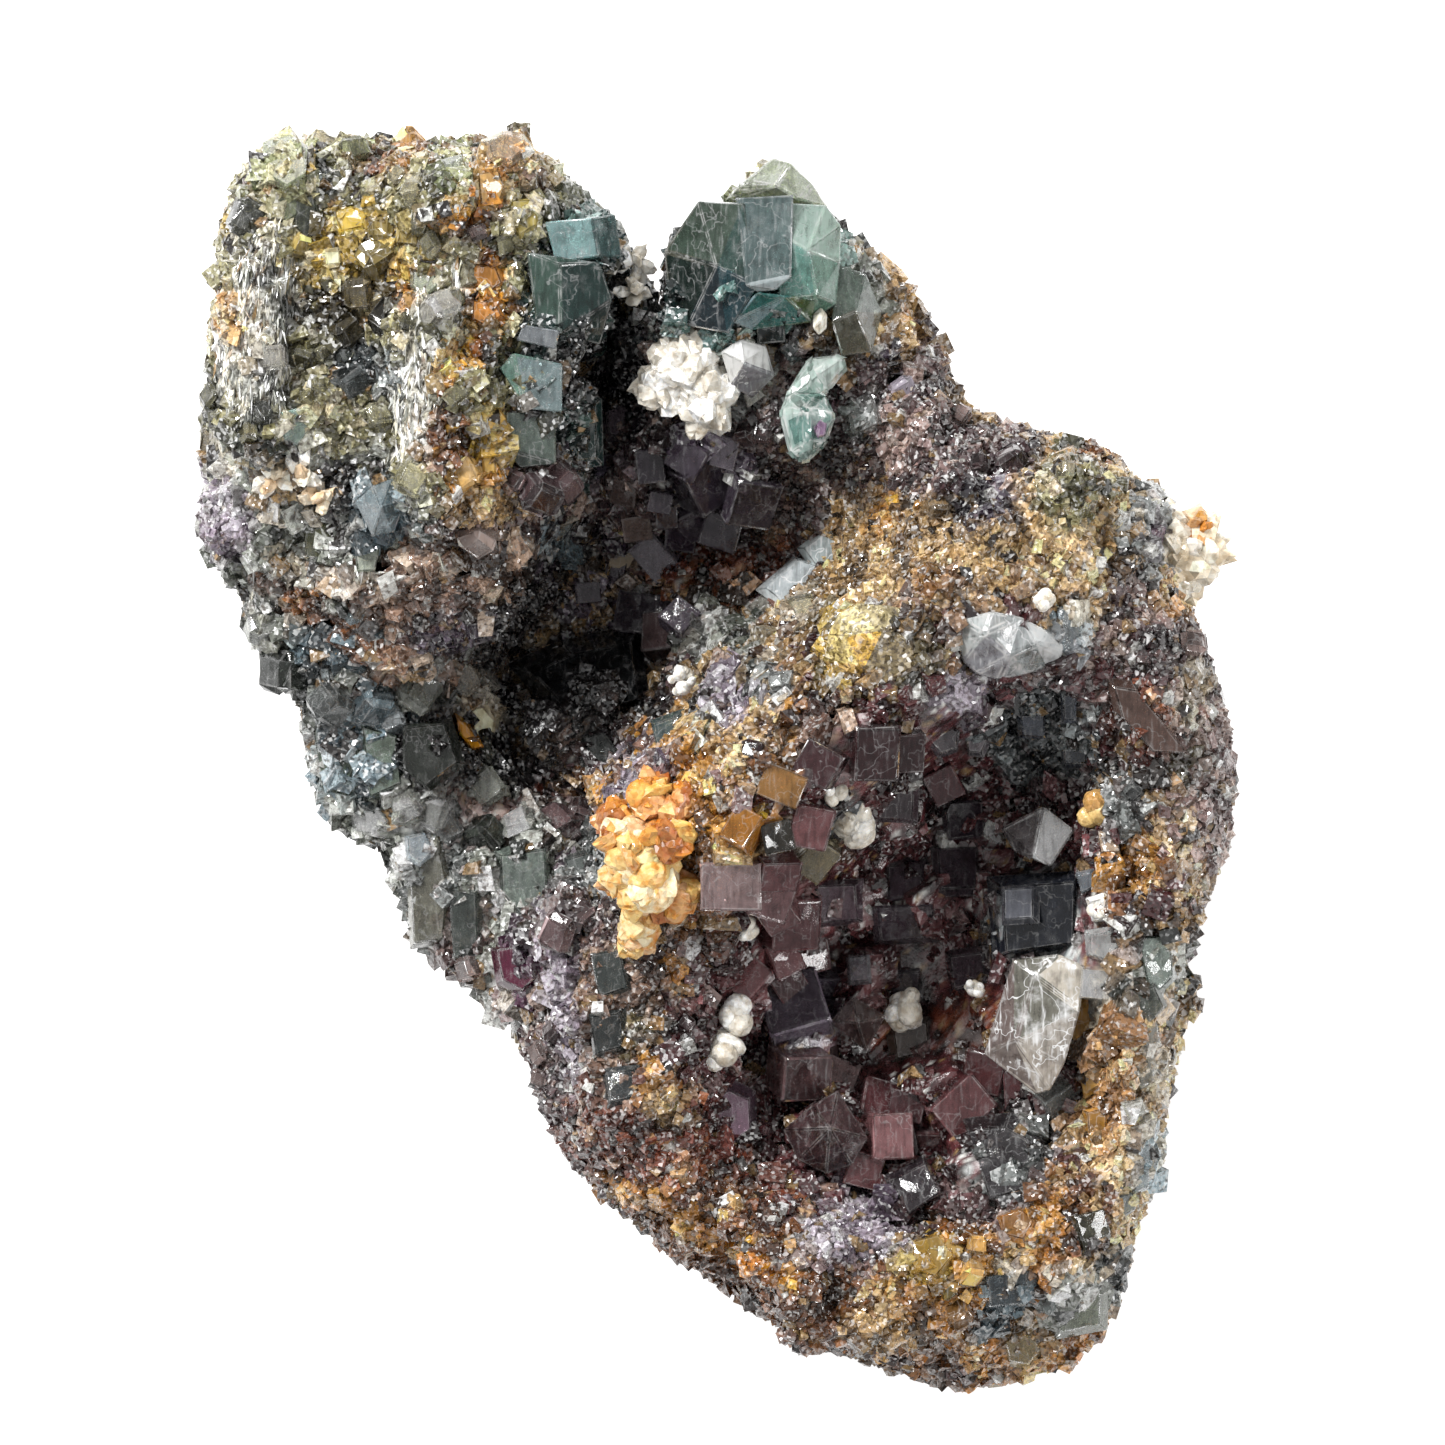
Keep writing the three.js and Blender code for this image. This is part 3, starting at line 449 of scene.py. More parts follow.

# Crystals told apart one by one

# Each crystal's visible face, by the mass it grew on: its finish, its shade, how far it stands
# out in millimetres, and the corners of the face in pixels of the photograph
FACES = {
    "green_fluorite_block": (
        ("amber", (228, 184, 92), 0.6, ((477, 408), (496, 403), (508, 418), (500, 450), (482, 448))),
        ("amber", (220, 176, 90), 0.5, ((480, 456), (499, 452), (499, 476), (484, 478))),
        ("amber", (232, 196, 110), 0.5, ((506, 412), (524, 418), (520, 446), (507, 452))),
        ("teal", (40, 62, 60), 0.2, ((556, 402), (602, 398), (604, 466), (560, 472))),
        ("clear", (206, 214, 184), 0.5,
         ((262, 142), (290, 133), (308, 146), (306, 176), (284, 190), (264, 178))),
        ("clear", (186, 196, 162), 0.4, ((270, 190), (302, 184), (306, 214), (286, 228), (270, 214))),
        ("clear", (204, 210, 188), 0.4, ((438, 160), (462, 154), (470, 180), (456, 208), (440, 196))),
        ("clear", (232, 206, 176), 0.4,
         ((482, 140), (502, 130), (524, 133), (534, 150), (512, 166), (488, 162))),
        ("amber", (198, 158, 98), 0.3, ((472, 172), (498, 168), (506, 190), (496, 218), (476, 212))),
        ("grey", (146, 128, 92), 0.4, ((508, 170), (538, 172), (540, 194), (510, 194))),
        ("amber", (200, 180, 96), 0.4, ((510, 199), (538, 198), (540, 228), (520, 240), (508, 226))),
        ("amber", (226, 192, 80), 0.5, ((330, 212), (352, 205), (372, 214), (368, 232), (340, 238))),
        ("amber", (196, 134, 58), 0.3, ((474, 262), (500, 258), (510, 284), (492, 296), (472, 286))),
        ("amber", (182, 122, 54), 0.3, ((472, 301), (496, 300), (506, 318), (488, 330), (472, 322))),
        ("clear", (196, 202, 180), 0.4, ((411, 262), (434, 258), (440, 286), (424, 300), (410, 288))),
        ("grey", (112, 118, 104), 0.4, ((296, 196), (318, 190), (326, 224), (310, 246), (294, 230))),
        ("crystal", (184, 206, 198), 0.4, ((278, 412), (300, 406), (310, 430), (296, 452), (280, 442))),
    ),
    "matrix_rock": (
        # Under the green block
        ("clear", (226, 214, 190), 0.5, ((215, 452), (231, 446), (242, 478), (220, 482))),
        ("crystal", (196, 204, 188), 0.5, ((350, 540), (366, 530), (379, 548), (374, 572), (354, 574))),
        ("grey", (122, 124, 88), 0.5, ((302, 528), (326, 520), (338, 540), (330, 562), (306, 560))),
        # Between the masses
        ("grey", (88, 90, 88), 0.4, ((640, 322), (654, 298), (672, 320), (664, 328))),
        ("clear", (176, 186, 186), 0.4, ((530, 528), (552, 512), (575, 520), (570, 546), (540, 552))),
        ("milky", (206, 214, 216), 0.6, ((755, 590), (794, 556), (820, 565), (815, 590), (776, 606))),
        ("grey", (104, 112, 100), 0.4, ((692, 590), (724, 578), (742, 600), (730, 640), (700, 634))),
        ("grey", (92, 104, 92), 0.3, ((720, 632), (752, 600), (764, 630), (742, 668))),
        ("clear", (214, 206, 176), 0.4, ((786, 598), (812, 592), (822, 612), (800, 626))),
        ("clear", (186, 190, 186), 0.4, ((842, 402), (866, 400), (872, 436), (848, 438))),
        ("clear", (200, 210, 216), 0.5, ((1058, 606), (1082, 612), (1086, 652), (1066, 660))),
        ("milky", (184, 194, 194), 0.4, ((796, 548), (822, 530), (850, 534), (846, 560), (812, 570))),
        ("amber", (232, 182, 66), 0.4, ((885, 498), (898, 493), (903, 510), (892, 518))),
        # Beside the lower left slope
        ("grey", (78, 82, 80), 0.5, ((572, 738), (604, 732), (622, 756), (612, 790), (578, 786))),
        ("clear", (132, 140, 136), 0.5, ((562, 856), (596, 846), (622, 860), (616, 900), (574, 902))),
        ("crystal", (236, 238, 236), 0.4, ((508, 1006), (530, 1002), (534, 1030), (512, 1034))),
        # The foot, the right-hand rim and the west rim
        ("purple", (116, 92, 106), 0.8,
         ((702, 1092), (728, 1076), (756, 1090), (758, 1132), (730, 1150), (704, 1136))),
        ("clear", (120, 132, 140), 0.5, ((982, 1276), (1030, 1270), (1028, 1306), (986, 1310))),
        ("clear", (110, 122, 128), 0.5, ((972, 1314), (1000, 1310), (998, 1338), (974, 1340))),
        ("clear", (150, 156, 140), 0.5,
         ((1042, 1286), (1076, 1276), (1108, 1290), (1108, 1330), (1056, 1340))),
        ("clear", (156, 168, 160), 0.4, ((1136, 936), (1172, 930), (1176, 980), (1150, 1004))),
        ("clear", (198, 208, 212), 0.4, ((1130, 1124), (1150, 1120), (1148, 1190), (1132, 1196))),
        ("grey", (112, 118, 110), 0.4,
         ((1124, 986), (1156, 980), (1168, 1006), (1150, 1024), (1128, 1014))),
        ("crystal", (226, 222, 208), 0.4, ((1136, 1026), (1158, 1018), (1162, 1046), (1144, 1056))),
        ("crystal", (210, 208, 196), 0.4, ((1134, 1060), (1154, 1054), (1160, 1084), (1140, 1092))),
        ("crystal", (234, 230, 216), 0.4, ((1120, 1102), (1142, 1096), (1150, 1112), (1128, 1122))),
        ("clear", (176, 184, 186), 0.4, ((1108, 1198), (1132, 1192), (1136, 1210), (1114, 1224))),
        ("grey", (92, 90, 70), 0.4, ((1070, 1216), (1104, 1208), (1112, 1236), (1082, 1256))),
        ("amber", (206, 156, 80), 0.4, ((1066, 1006), (1088, 994), (1094, 1032), (1072, 1046))),
        ("amber", (214, 164, 84), 0.4, ((1076, 1062), (1100, 1052), (1108, 1086), (1084, 1100))),
        ("amber", (196, 142, 62), 0.4, ((1082, 1110), (1108, 1104), (1106, 1140), (1086, 1148))),
        ("amber", (204, 166, 84), 0.4, ((912, 1240), (944, 1232), (962, 1256), (940, 1282), (914, 1272))),
        ("amber", (190, 132, 64), 0.3,
         ((996, 1216), (1022, 1206), (1040, 1222), (1026, 1246), (1000, 1240))),
        ("clear", (214, 194, 146), 0.4,
         ((1002, 1342), (1030, 1334), (1044, 1352), (1028, 1370), (1006, 1366))),
        ("grey", (92, 100, 98), 0.5, ((590, 950), (626, 944), (634, 990), (600, 1002))),
        ("grey", (80, 86, 86), 0.5, ((586, 1010), (626, 1006), (632, 1052), (594, 1062))),
        ("grey", (96, 102, 104), 0.5, ((600, 1068), (640, 1064), (642, 1102), (606, 1110))),
    ),
    "cavity_crust": (
        ("purple", (110, 98, 106), 0.5, ((600, 412), (621, 402), (640, 420), (632, 444), (606, 442))),
        ("purple", (124, 114, 134), 0.5, ((590, 456), (618, 452), (621, 474), (594, 478))),
        ("clear", (150, 150, 158), 0.5, ((590, 660), (612, 652), (632, 664), (628, 690), (600, 694))),
        ("grey", (30, 34, 38), 0.1, ((506, 664), (560, 640), (640, 622), (650, 700), (560, 722))),
        ("clear", (120, 140, 140), 0.4, ((650, 720), (684, 708), (690, 746), (658, 756))),
    ),
    "slope_fluorite": (
        # The first three, near-white, are painted glints
        ("crystal", (220, 228, 230), 0.7, ((313, 722), (332, 714), (342, 738), (330, 762), (314, 752))),
        ("crystal", (240, 242, 240), 0.5, ((350, 814), (378, 806), (390, 822), (372, 836), (352, 832))),
        ("crystal", (206, 218, 226), 0.9, ((404, 836), (424, 831), (436, 852), (420, 868), (406, 860))),
        ("amber", (242, 166, 34), 0.6, ((455, 712), (466, 720), (486, 747), (475, 751), (458, 732))),
        ("grey", (104, 116, 100), 0.5, ((312, 724), (352, 716), (372, 760), (352, 812), (322, 800))),
        ("clear", (132, 146, 132), 0.5, ((356, 722), (396, 734), (402, 790), (366, 806))),
        ("clear", (120, 142, 150), 0.5, ((322, 640), (362, 634), (372, 676), (332, 684))),
        ("clear", (144, 142, 128), 0.6, ((404, 838), (440, 828), (452, 880), (446, 944), (410, 950))),
        ("clear", (128, 138, 132), 0.6, ((450, 880), (482, 884), (484, 946), (456, 962))),
        ("clear", (140, 152, 144), 0.6, ((488, 848), (548, 840), (552, 904), (516, 930), (490, 900))),
        ("purple", (92, 32, 56), 1.0, ((490, 948), (538, 940), (542, 976), (520, 996), (496, 984))),
        ("grey", (84, 90, 82), 0.4, ((404, 724), (452, 718), (468, 764), (430, 792), (404, 770))),
        ("calcite", (238, 226, 196), 0.5, ((462, 704), (484, 698), (500, 716), (496, 742), (474, 748))),
    ),
    "bowl_crust": (
        ("grey", (50, 54, 66), 0.8, ((986, 876), (1080, 870), (1078, 948), (992, 960))),
        ("purple", (96, 98, 106), 1.2, ((1001, 886), (1040, 884), (1040, 924), (1002, 926))),
        ("clear", (206, 216, 226), 0.6, ((1075, 872), (1094, 868), (1098, 886), (1082, 894))),
        ("calcite", (234, 232, 226), 0.7,
         ((1085, 898), (1104, 892), (1122, 902), (1118, 920), (1092, 922))),
        ("crystal", (226, 228, 226), 0.7,
         ((1084, 930), (1110, 926), (1122, 944), (1108, 964), (1086, 956))),
        ("purple", (100, 84, 92), 0.7, ((812, 880), (864, 878), (868, 924), (814, 928))),
        ("purple", (84, 72, 80), 0.6, ((882, 858), (928, 854), (932, 900), (884, 902))),
        ("purple", (92, 78, 88), 0.8, ((870, 906), (934, 904), (940, 942), (874, 946))),
        ("clear", (150, 148, 156), 0.7, ((846, 956), (870, 954), (872, 984), (848, 986))),
        ("clear", (140, 134, 144), 0.6, ((890, 970), (920, 968), (918, 990), (892, 992))),
        ("purple", (92, 78, 84), 0.9, ((876, 776), (920, 778), (918, 824), (877, 822))),
        ("purple", (104, 90, 82), 0.6, ((884, 1020), (930, 1016), (934, 1056), (890, 1066))),
        ("clear", (84, 74, 80), 0.9, ((882, 1176), (924, 1154), (942, 1190), (904, 1216))),
        ("clear", (90, 85, 88), 0.9,
         ((962, 1118), (1010, 1112), (1046, 1134), (1040, 1192), (990, 1204))),
        ("purple", (104, 82, 74), 0.8,
         ((1104, 676), (1132, 680), (1166, 720), (1190, 754), (1150, 752), (1114, 712))),
        ("clear", (96, 102, 116), 0.7, ((1016, 712), (1046, 710), (1046, 740), (1018, 738))),
        ("clear", (104, 110, 124), 0.7, ((1060, 692), (1076, 690), (1076, 724), (1061, 724))),
        ("clear", (90, 96, 108), 0.7, ((1060, 742), (1090, 740), (1090, 768), (1062, 770))),
        ("clear", (124, 116, 122), 0.8, ((925, 740), (940, 722), (960, 730), (958, 752), (938, 759))),
        ("clear", (116, 108, 114), 0.7, ((965, 736), (980, 722), (993, 738), (984, 758), (968, 756))),
        ("purple", (86, 72, 82), 0.7, ((940, 800), (984, 796), (988, 838), (944, 844))),
        ("purple", (80, 68, 76), 0.6, ((930, 846), (980, 846), (980, 896), (934, 898))),
        ("purple", (90, 76, 84), 0.6, ((944, 950), (990, 944), (994, 986), (950, 996))),
    ),
}
# Crystals whose corners are known, by the name of the object they are joined in: its finish, its
# slot, the node it stands for if any, and for each crystal how low it is rooted, its corners as
# pixel across, pixel down and millimetres up, and the middle and shade of each face
SOLIDS = {
    "top_crystal": ("teal", "teal_fluorite", "", (
        (16.0, (
         (698, 201, 25.4), (664, 251, 24.0), (672, 324, 22.8), (688, 326, 24.2), (728, 333, 24.8),
         (744, 203, 26.4), (757, 286, 27.0), (716, 266, 26.0)), (
         (676, 262, (108, 108, 94)), (712, 222, (84, 100, 88)), (696, 270, (46, 58, 54)),
         (712, 306, (28, 46, 54)), (736, 245, (66, 92, 86)), (730, 300, (48, 80, 88)))),
        (18.0, (
         (736, 198, 26.2), (793, 195, 26.5), (791, 277, 27.2), (746, 286, 27.1), (757, 292, 26.6),
         (776, 290, 26.8)), (
         (764, 236, (104, 122, 122)), (768, 288, (196, 208, 210)))),
        # Paler teal: partly its own colour, partly painted light shining through it
        (18.0, (
         (785, 203, 25.8), (826, 205, 25.4), (841, 226, 25.2), (840, 262, 25.2), (836, 304, 24.4),
         (812, 320, 24.0), (779, 300, 26.2), (777, 232, 26.6), (808, 250, 27.0), (818, 296, 26.0)), (
         (792, 222, (180, 204, 192)), (796, 270, (128, 176, 164)), (826, 236, (196, 220, 206)),
         (830, 280, (156, 190, 174)), (800, 304, (120, 162, 142)))),
        (16.0, (
         (732, 322, 25.0), (756, 293, 26.8), (786, 296, 26.6), (816, 300, 25.6), (812, 322, 24.2),
         (780, 326, 23.8), (752, 330, 24.0)), (
         # The pale face at the left is a painted sheen
         (745, 314, (160, 190, 196)), (772, 304, (62, 134, 128)), (800, 312, (96, 128, 84)))),
        (16.0, (
         (756, 318, 24.4), (784, 318, 24.4), (786, 342, 23.4), (758, 344, 23.4)), (
         (770, 330, (30, 42, 44)),)),
    )),
    "top_peak": ("crystal", "teal_fluorite", "", (
        (15.0, (
         (723, 202, 20.6), (735, 188, 21.6), (746, 181, 22.0), (757, 174, 21.8), (773, 157, 21.0),
         (790, 162, 22.0), (813, 184, 22.0), (829, 208, 21.6), (776, 186, 24.0), (800, 200, 23.6)), (
         (750, 192, (140, 150, 120)), (780, 176, (164, 176, 144)), (806, 192, (202, 212, 188)))),
    )),
    "top_slab": ("grey", "teal_fluorite", "", (
        (16.0, (
         (838, 264, 24.2), (866, 274, 23.2), (882, 312, 21.6), (872, 352, 22.2), (842, 356, 22.8),
         (832, 322, 24.2), (856, 312, 24.2)), (
         (850, 290, (144, 162, 150)), (860, 330, (150, 150, 134)))),
    )),
    "frosty_crystal": ("milky", "teal_fluorite", "", (
        (15.0, (
         (721, 352, 23.4), (740, 339, 24.0), (766, 346, 23.0), (775, 376, 22.4), (752, 398, 22.0),
         (731, 386, 22.6), (743, 362, 24.8)), (
         (730, 356, (250, 250, 248)), (754, 349, (250, 250, 248)), (755, 380, (150, 148, 154)))),
    )),
    "white_bead": ("calcite", "calcite", "", (
        (21.5, (
         (813, 314, 24.6), (821, 307, 24.8), (827, 314, 24.6), (827, 328, 24.4), (819, 335, 24.6),
         (813, 328, 24.8), (820, 321, 25.4)), (
         (820, 320, (236, 234, 222)),)),
    )),
    "green_tooth_body": ("tooth", "green_fluorite", "green_tooth", (
        (21.0, (
         (786, 394, 24.2), (808, 358, 23.2), (842, 354, 22.9), (847, 368, 23.0), (826, 394, 24.0),
         (792, 412, 24.2), (812, 374, 24.4)), (
         (800, 380, (178, 200, 190)), (830, 366, (204, 220, 212)), (808, 398, (150, 178, 167)))),
        (21.0, (
         (779, 413, 24.6), (788, 392, 24.2), (824, 392, 24.2), (836, 416, 24.6), (825, 446, 25.6),
         (806, 464, 26.2), (790, 456, 25.8), (806, 410, 25.9), (808, 446, 26.7)), (
         (788, 420, (190, 210, 202)), (802, 425, (112, 148, 140)), (822, 412, (124, 157, 147)),
         (822, 432, (108, 138, 130)), (800, 454, (168, 194, 186)))),
    )),
    "tooth_spot": ("purple", "purple_fluorite", "", (
        (24.0, (
         (814, 428, 26.4), (820, 420, 26.4), (827, 424, 26.2), (825, 436, 26.3), (817, 437, 26.5)), (
         (820, 428, (150, 116, 150)),)),
    )),
    "clear_crystal_body": ("frosted", "clear_crystal", "clear_crystal", (
        (26.0, (
         (959, 619, 30.5), (992, 611, 30.9), (1022, 617, 30.7), (1048, 631, 30.2), (1065, 646, 29.3),
         (1062, 657, 28.8), (1047, 667, 28.6), (1024, 675, 28.7), (999, 680, 28.8), (976, 674, 29.0),
         (962, 661, 29.4), (957, 640, 30.0), (984, 634, 31.4), (1040, 645, 30.5), (1010, 656, 30.5)), (
         (970, 626, (222, 228, 226)), (1010, 624, (186, 192, 192)), (1050, 640, (232, 236, 236)),
         (1030, 660, (164, 172, 172)), (990, 664, (184, 184, 190)), (1052, 660, (244, 246, 246)))),
    )),
    "ridge_dome": ("rock", "rock", "", (
        (25.0, (
         (824, 660, 29.8), (828, 634, 30.2), (838, 614, 30.4), (858, 603, 30.5), (886, 605, 30.6),
         (914, 611, 30.5), (938, 627, 30.2), (950, 654, 29.8), (942, 682, 29.4), (920, 699, 29.2),
         (890, 706, 29.2), (858, 703, 29.2), (834, 690, 29.3), (846, 636, 31.3), (862, 666, 31.2),
         (880, 630, 31.6), (906, 640, 31.6), (916, 666, 31.1), (886, 682, 30.9)), (
         (836, 640, (206, 184, 112)), (850, 620, (196, 182, 126)), (850, 672, (196, 158, 84)),
         (868, 650, (216, 172, 70)), (874, 616, (160, 146, 104)), (880, 688, (132, 112, 74)),
         (898, 650, (122, 106, 72)), (924, 636, (98, 84, 64)), (934, 668, (80, 68, 56)),
         (908, 692, (102, 86, 64)))),
    )),
    "block_crystals": ("clear", "green_fluorite", "", (
        (17.0, (
         (545, 222, 26.8), (593, 218, 27.3), (600, 256, 27.3), (556, 262, 27.0), (615, 214, 25.8),
         (622, 257, 25.6)), (
         (570, 240, (176, 216, 216)), (608, 236, (110, 138, 138)))),
        (22.0, (
         (523, 325, 28.3), (560, 331, 28.3), (555, 349, 28.1), (517, 340, 28.1)), (
         (540, 337, (176, 182, 188)),)),
        (20.0, (
         (513, 353, 28.0), (562, 364, 28.1), (562, 412, 28.0), (524, 408, 28.3), (500, 368, 27.7)), (
         (542, 386, (170, 192, 194)), (512, 380, (140, 180, 164)))),
        (20.0, (
         (506, 413, 27.3), (555, 413, 27.5), (556, 464, 26.6), (520, 468, 26.4), (505, 450, 26.8)), (
         (530, 430, (140, 156, 146)), (525, 458, (92, 106, 98)))),
        (19.0, (
         (355, 502, 25.2), (372, 486, 25.8), (393, 478, 25.8), (406, 500, 25.6), (394, 532, 24.8),
         (372, 536, 24.6), (381, 508, 26.6)), (
         (370, 505, (186, 202, 208)), (394, 505, (150, 172, 180)))),
    )),
    "block_dark_crystals": ("teal", "green_fluorite", "", (
        (17.0, (
         (527, 252, 27.4), (560, 264, 27.6), (600, 262, 26.8), (612, 300, 25.6), (600, 345, 25.0),
         (560, 335, 27.6), (536, 322, 27.6)), (
         (545, 290, (78, 102, 92)), (585, 290, (44, 72, 68)), (600, 330, (22, 38, 36)))),
    )),
    "bowl_crystals": ("crystal", "purple_fluorite", "", (
        (16.0, (
         (1001, 828, 20.6), (1043, 806, 22.0), (1075, 830, 21.8), (1051, 867, 21.6), (1014, 852, 20.4),
         (1034, 858, 21.8)), (
         # The white face is a painted reflection
         (1056, 840, (252, 252, 252)), (1020, 832, (128, 122, 124)))),
    )),
    "bowl_milky_crystal": ("milky", "purple_fluorite", "", (
        (16.0, (
         (1013, 960, 22.2), (1058, 954, 22.6), (1084, 966, 22.9), (1080, 1010, 23.2), (1064, 1064, 22.6),
         (1050, 1090, 22.0), (1036, 1094, 21.6), (984, 1054, 21.4), (995, 1010, 21.6), (1016, 1040, 22.9),
         (1034, 975, 23.0)), (
         (1002, 1020, (120, 106, 102)), (1040, 985, (120, 118, 108)), (1072, 990, (206, 198, 184)),
         (1048, 1040, (176, 168, 158)), (1030, 1075, (184, 174, 162)), (1010, 1060, (132, 120, 114)))),
    )),
    "bowl_crystals_low": ("clear", "purple_fluorite", "", (
        (15.0, (
         (783, 1130, 20.2), (812, 1105, 20.6), (838, 1090, 20.6), (868, 1138, 20.4), (852, 1165, 20.2),
         (826, 1174, 20.0), (798, 1160, 20.0), (830, 1128, 22.4)), (
         (806, 1138, (98, 74, 77)), (846, 1132, (118, 94, 96)), (826, 1155, (72, 53, 56)))),
        (12.0, (
         (829, 1022, 17.4), (853, 996, 17.8), (886, 1016, 17.6), (866, 1051, 17.4), (857, 1022, 19.4)), (
         (845, 1008, (150, 132, 130)), (868, 1014, (134, 116, 112)), (860, 1040, (100, 82, 80)))),
    )),
}
DEEPEST_SLOPE = 0.7  # how far a face may lean from the photograph's plane
LEAST_SLOPE = 0.001  # flatter ones are treated as this, so that nothing is divided by 0
DEEPEST_STEP = 3.0  # millimetres by which what lies behind a face may differ from its middle
PROBES = (0.0, 0.45, 0.9)  # shares of the way from a face's middle to its corners
CRYSTAL_DEPTH = 3.0
CRYSTAL_SLANT = 0.22  # how far a crystal's sides fall from its face, as a share of its width
FACE_SHARES = (0.7, 0.86)  # how much of a crystal's outline its face takes up, at least and at most
FACE_SHIFT = 0.08  # how far the face may lie off the middle, as a share of the crystal's width
FOOT_SHARE, ROOT_SHARE = 0.85, 0.8  # width of the foot of a traced crystal and of a known one
FACE_LEVEL = 0.7  # share of what lies behind a face that it must clear
FLAT_ANGLE = radians(6)  # faces that meet at less are one
# Facets on the edges and rims of the faces in millimetres: of most crystals, and of some finishes
CRYSTAL_EDGE, CRYSTAL_RIM = 0.06, 0.1
RIMS = {"tooth": 0.35, "milky": 0.12, "crystal": 0.16, "frosted": 0.16}
WORN_EDGES = {"tooth": 0.15, "crystal": 0.13, "frosted": 0.13}
BROAD_FACE = 6  # how many squares of the edge's width a face must hold to get a rim

# The shapes that grow in numbers, one across: the facets on a cube's edges and the rims of its
# faces; how far a splinter reaches; a petal's foot (its widths and height) and its tip (how far
# each step rises, how much it narrows and how high it ends)
CUBES = {"cube": (0.025, 0.045), "worn": (0.18, 0.03)}
SPLINTER_REACH = 0.62
PETAL_FOOT = (0.3, 0.5, 0.62)
PETAL_TIP = ((0.26, 0.55, 0.88), (0.12, 0.35, 1))

# The pieces that carry the specimen's bulk: node, slot, finish, relief as a share of the rock's,
# width of the smallest step in millimetres, brightness, grains, crystals, their shape and widths,
# and names
MASSES = {
    "matrix_rock": (
        "rock", "rock", 1.0, 0.53, 0.8, 25500, 80, "worn", (0.8, 1.6),
        "rock_body", "rock_druse", "rock_cubes"),
    "green_fluorite_block": (
        "green_fluorite", "rock", 1.0, 0.39, 0.85, 12500, 170, "worn", (0.8, 2.1),
        "block_body", "block_grains", "block_cubes"),
    "top_fluorite": (
        "teal_fluorite", "facets", 0.2, 0.32, 0.85, 1500, 12, "worn", (0.7, 1.3),
        "top_body", "top_grains", "top_cubes"),
    "slope_fluorite": (
        "teal_fluorite", "facets", 0.3, 0.36, 1.1, 1800, 170, "worn", (1.6, 3.6),
        "slope_body", "slope_grains", "slope_cubes"),
    # The hollow's crust has brightness 0.6: painted shade in the hollow
    "cavity_crust": (
        "purple_fluorite", "facets", 0.3, 0.36, 0.6, 1500, 110, "cube", (1.3, 2.9),
        "cavity_body", "cavity_grains", "cavity_cubes"),
    "bowl_crust": (
        "purple_fluorite", "facets", 0.15, 0.4, 0.98, 700, 260, "cube", (1.9, 3.8),
        "bowl_body", "bowl_grains", "bowl_cubes"),
}
MASS_SEED = 11
SAME_CORNER = 1e-7  # metres within which a solid's corners are one
LUMP_LEVEL, CRUMB_LEVEL = 0.35, 0.5  # share of their height at which the surface stays in place
BODY_SPREAD, GRAIN_SPREAD = 0.2, 0.27  # how much the shades of the bodies and the grains differ
GRAIN_BIAS, CUBE_BIAS = 2, 1.5  # the higher, the more of them are narrow
MOST_GRAINS = 15000  # in one object
SPLINTERS = 0.7  # share of the grains that are splinters, the others being chips
# Grains that bridge the gap between a mass and the rock: how near, how many are tried, widths
SEAM, SEAM_TRIES, SEAM_WIDTHS = 1.0, 5000, (0.8, 1.5)
FRONTAL = np.array([0.0, 0.0, 1.4])  # how strongly the hollows' cubes turn a face to the lens
FRONTAL_SPIN = 0.4  # radians by which those cubes differ in their turn
STEEPEST = 0.4  # how upright a face must be to carry a crystal, as the height of its normal
# Where grains are strewn: faces that look down more than this get this share, and nothing grows
# below this height; the air over a grain is open from and for so many millimetres
UNDERSIDE, UNDERSIDE_SHARE, BARE_BELOW = -0.3, 0.2, 0.4
LEAST_AREA = 1e-9  # of a face, so that nothing is divided by 0
OPEN_FROM, OPEN_REACH = 0.3, 1.0
# Grains: how much they differ in width, how loosely they stand, how uneven their corners are and
# how deep they sit, as a share of their width
GRAIN_WIDTHS, GRAIN_TILT, GRAIN_JITTER, GRAIN_DEPTH = (0.6, 1.3), 0.5, 0.17, 0.04
COLUMN = (0.75, 5.5, 1.1)  # how much wider, longer and higher a silver column is than a chip
COLUMN_SPIN, COLUMN_TILT, COLUMN_JITTER = (-0.06, 0.06), 0.12, 0.1  # the spin's middle and spread
# Cubes: places tried for each, widths and tilt, how far apart they stay, how much of one shows
# beside a traced crystal, and how much a traced one covers
CUBE_TRIES, CUBE_WIDTHS, CUBE_TILT, CUBE_HEIGHT = 5, (0.8, 1.15), 0.35, 0.1
CUBE_ROOM, CLOSEST, SHOWING, COVERING = 1.25, 0.62, 0.45, 0.8
# How even a cube's corners and its shades are: of the hollows' cubes, and of the worn ones
CUBE_JITTER = {"cube": 0.015, "worn": 0.08}
CUBE_SPREAD = {"cube": 0.25, "worn": 0.42}
CLEAR_CUBES, BRIGHT_CUBES = 0.12, 0.7  # below the first chance one is clear, above the second bright
GLASS_PALENESS = 0.75  # light crosses a glassy crystal's shade twice, so it is made paler


# Numbers and arrays


def linear(shade):
    """A screen colour of 0 to 255 as light."""
    part = np.asarray(shade, float) / 255
    return np.where(part <= 0.04045, part / 12.92, ((part + 0.055) / 1.055) ** 2.4)


def in_photo(points):
    """Pixels of the photograph where points in millimetres show."""
    scale = LENS_LENGTH / SENSOR * PHOTO / (LENS_AT[2] - points[:, 2])
    across = PHOTO / 2 + (points[:, 0] - LENS_AT[0]) * scale
    down = PHOTO / 2 - (points[:, 1] - LENS_AT[1]) * scale
    return np.stack([across, down], 1)


def sights(pixels):
    """Directions in which the lens sees pixels of the photograph."""
    scale = SENSOR / LENS_LENGTH / PHOTO
    aside = (np.asarray(pixels, float) - PHOTO / 2) * [scale, -scale]
    return np.column_stack([aside, -np.ones(len(aside))])


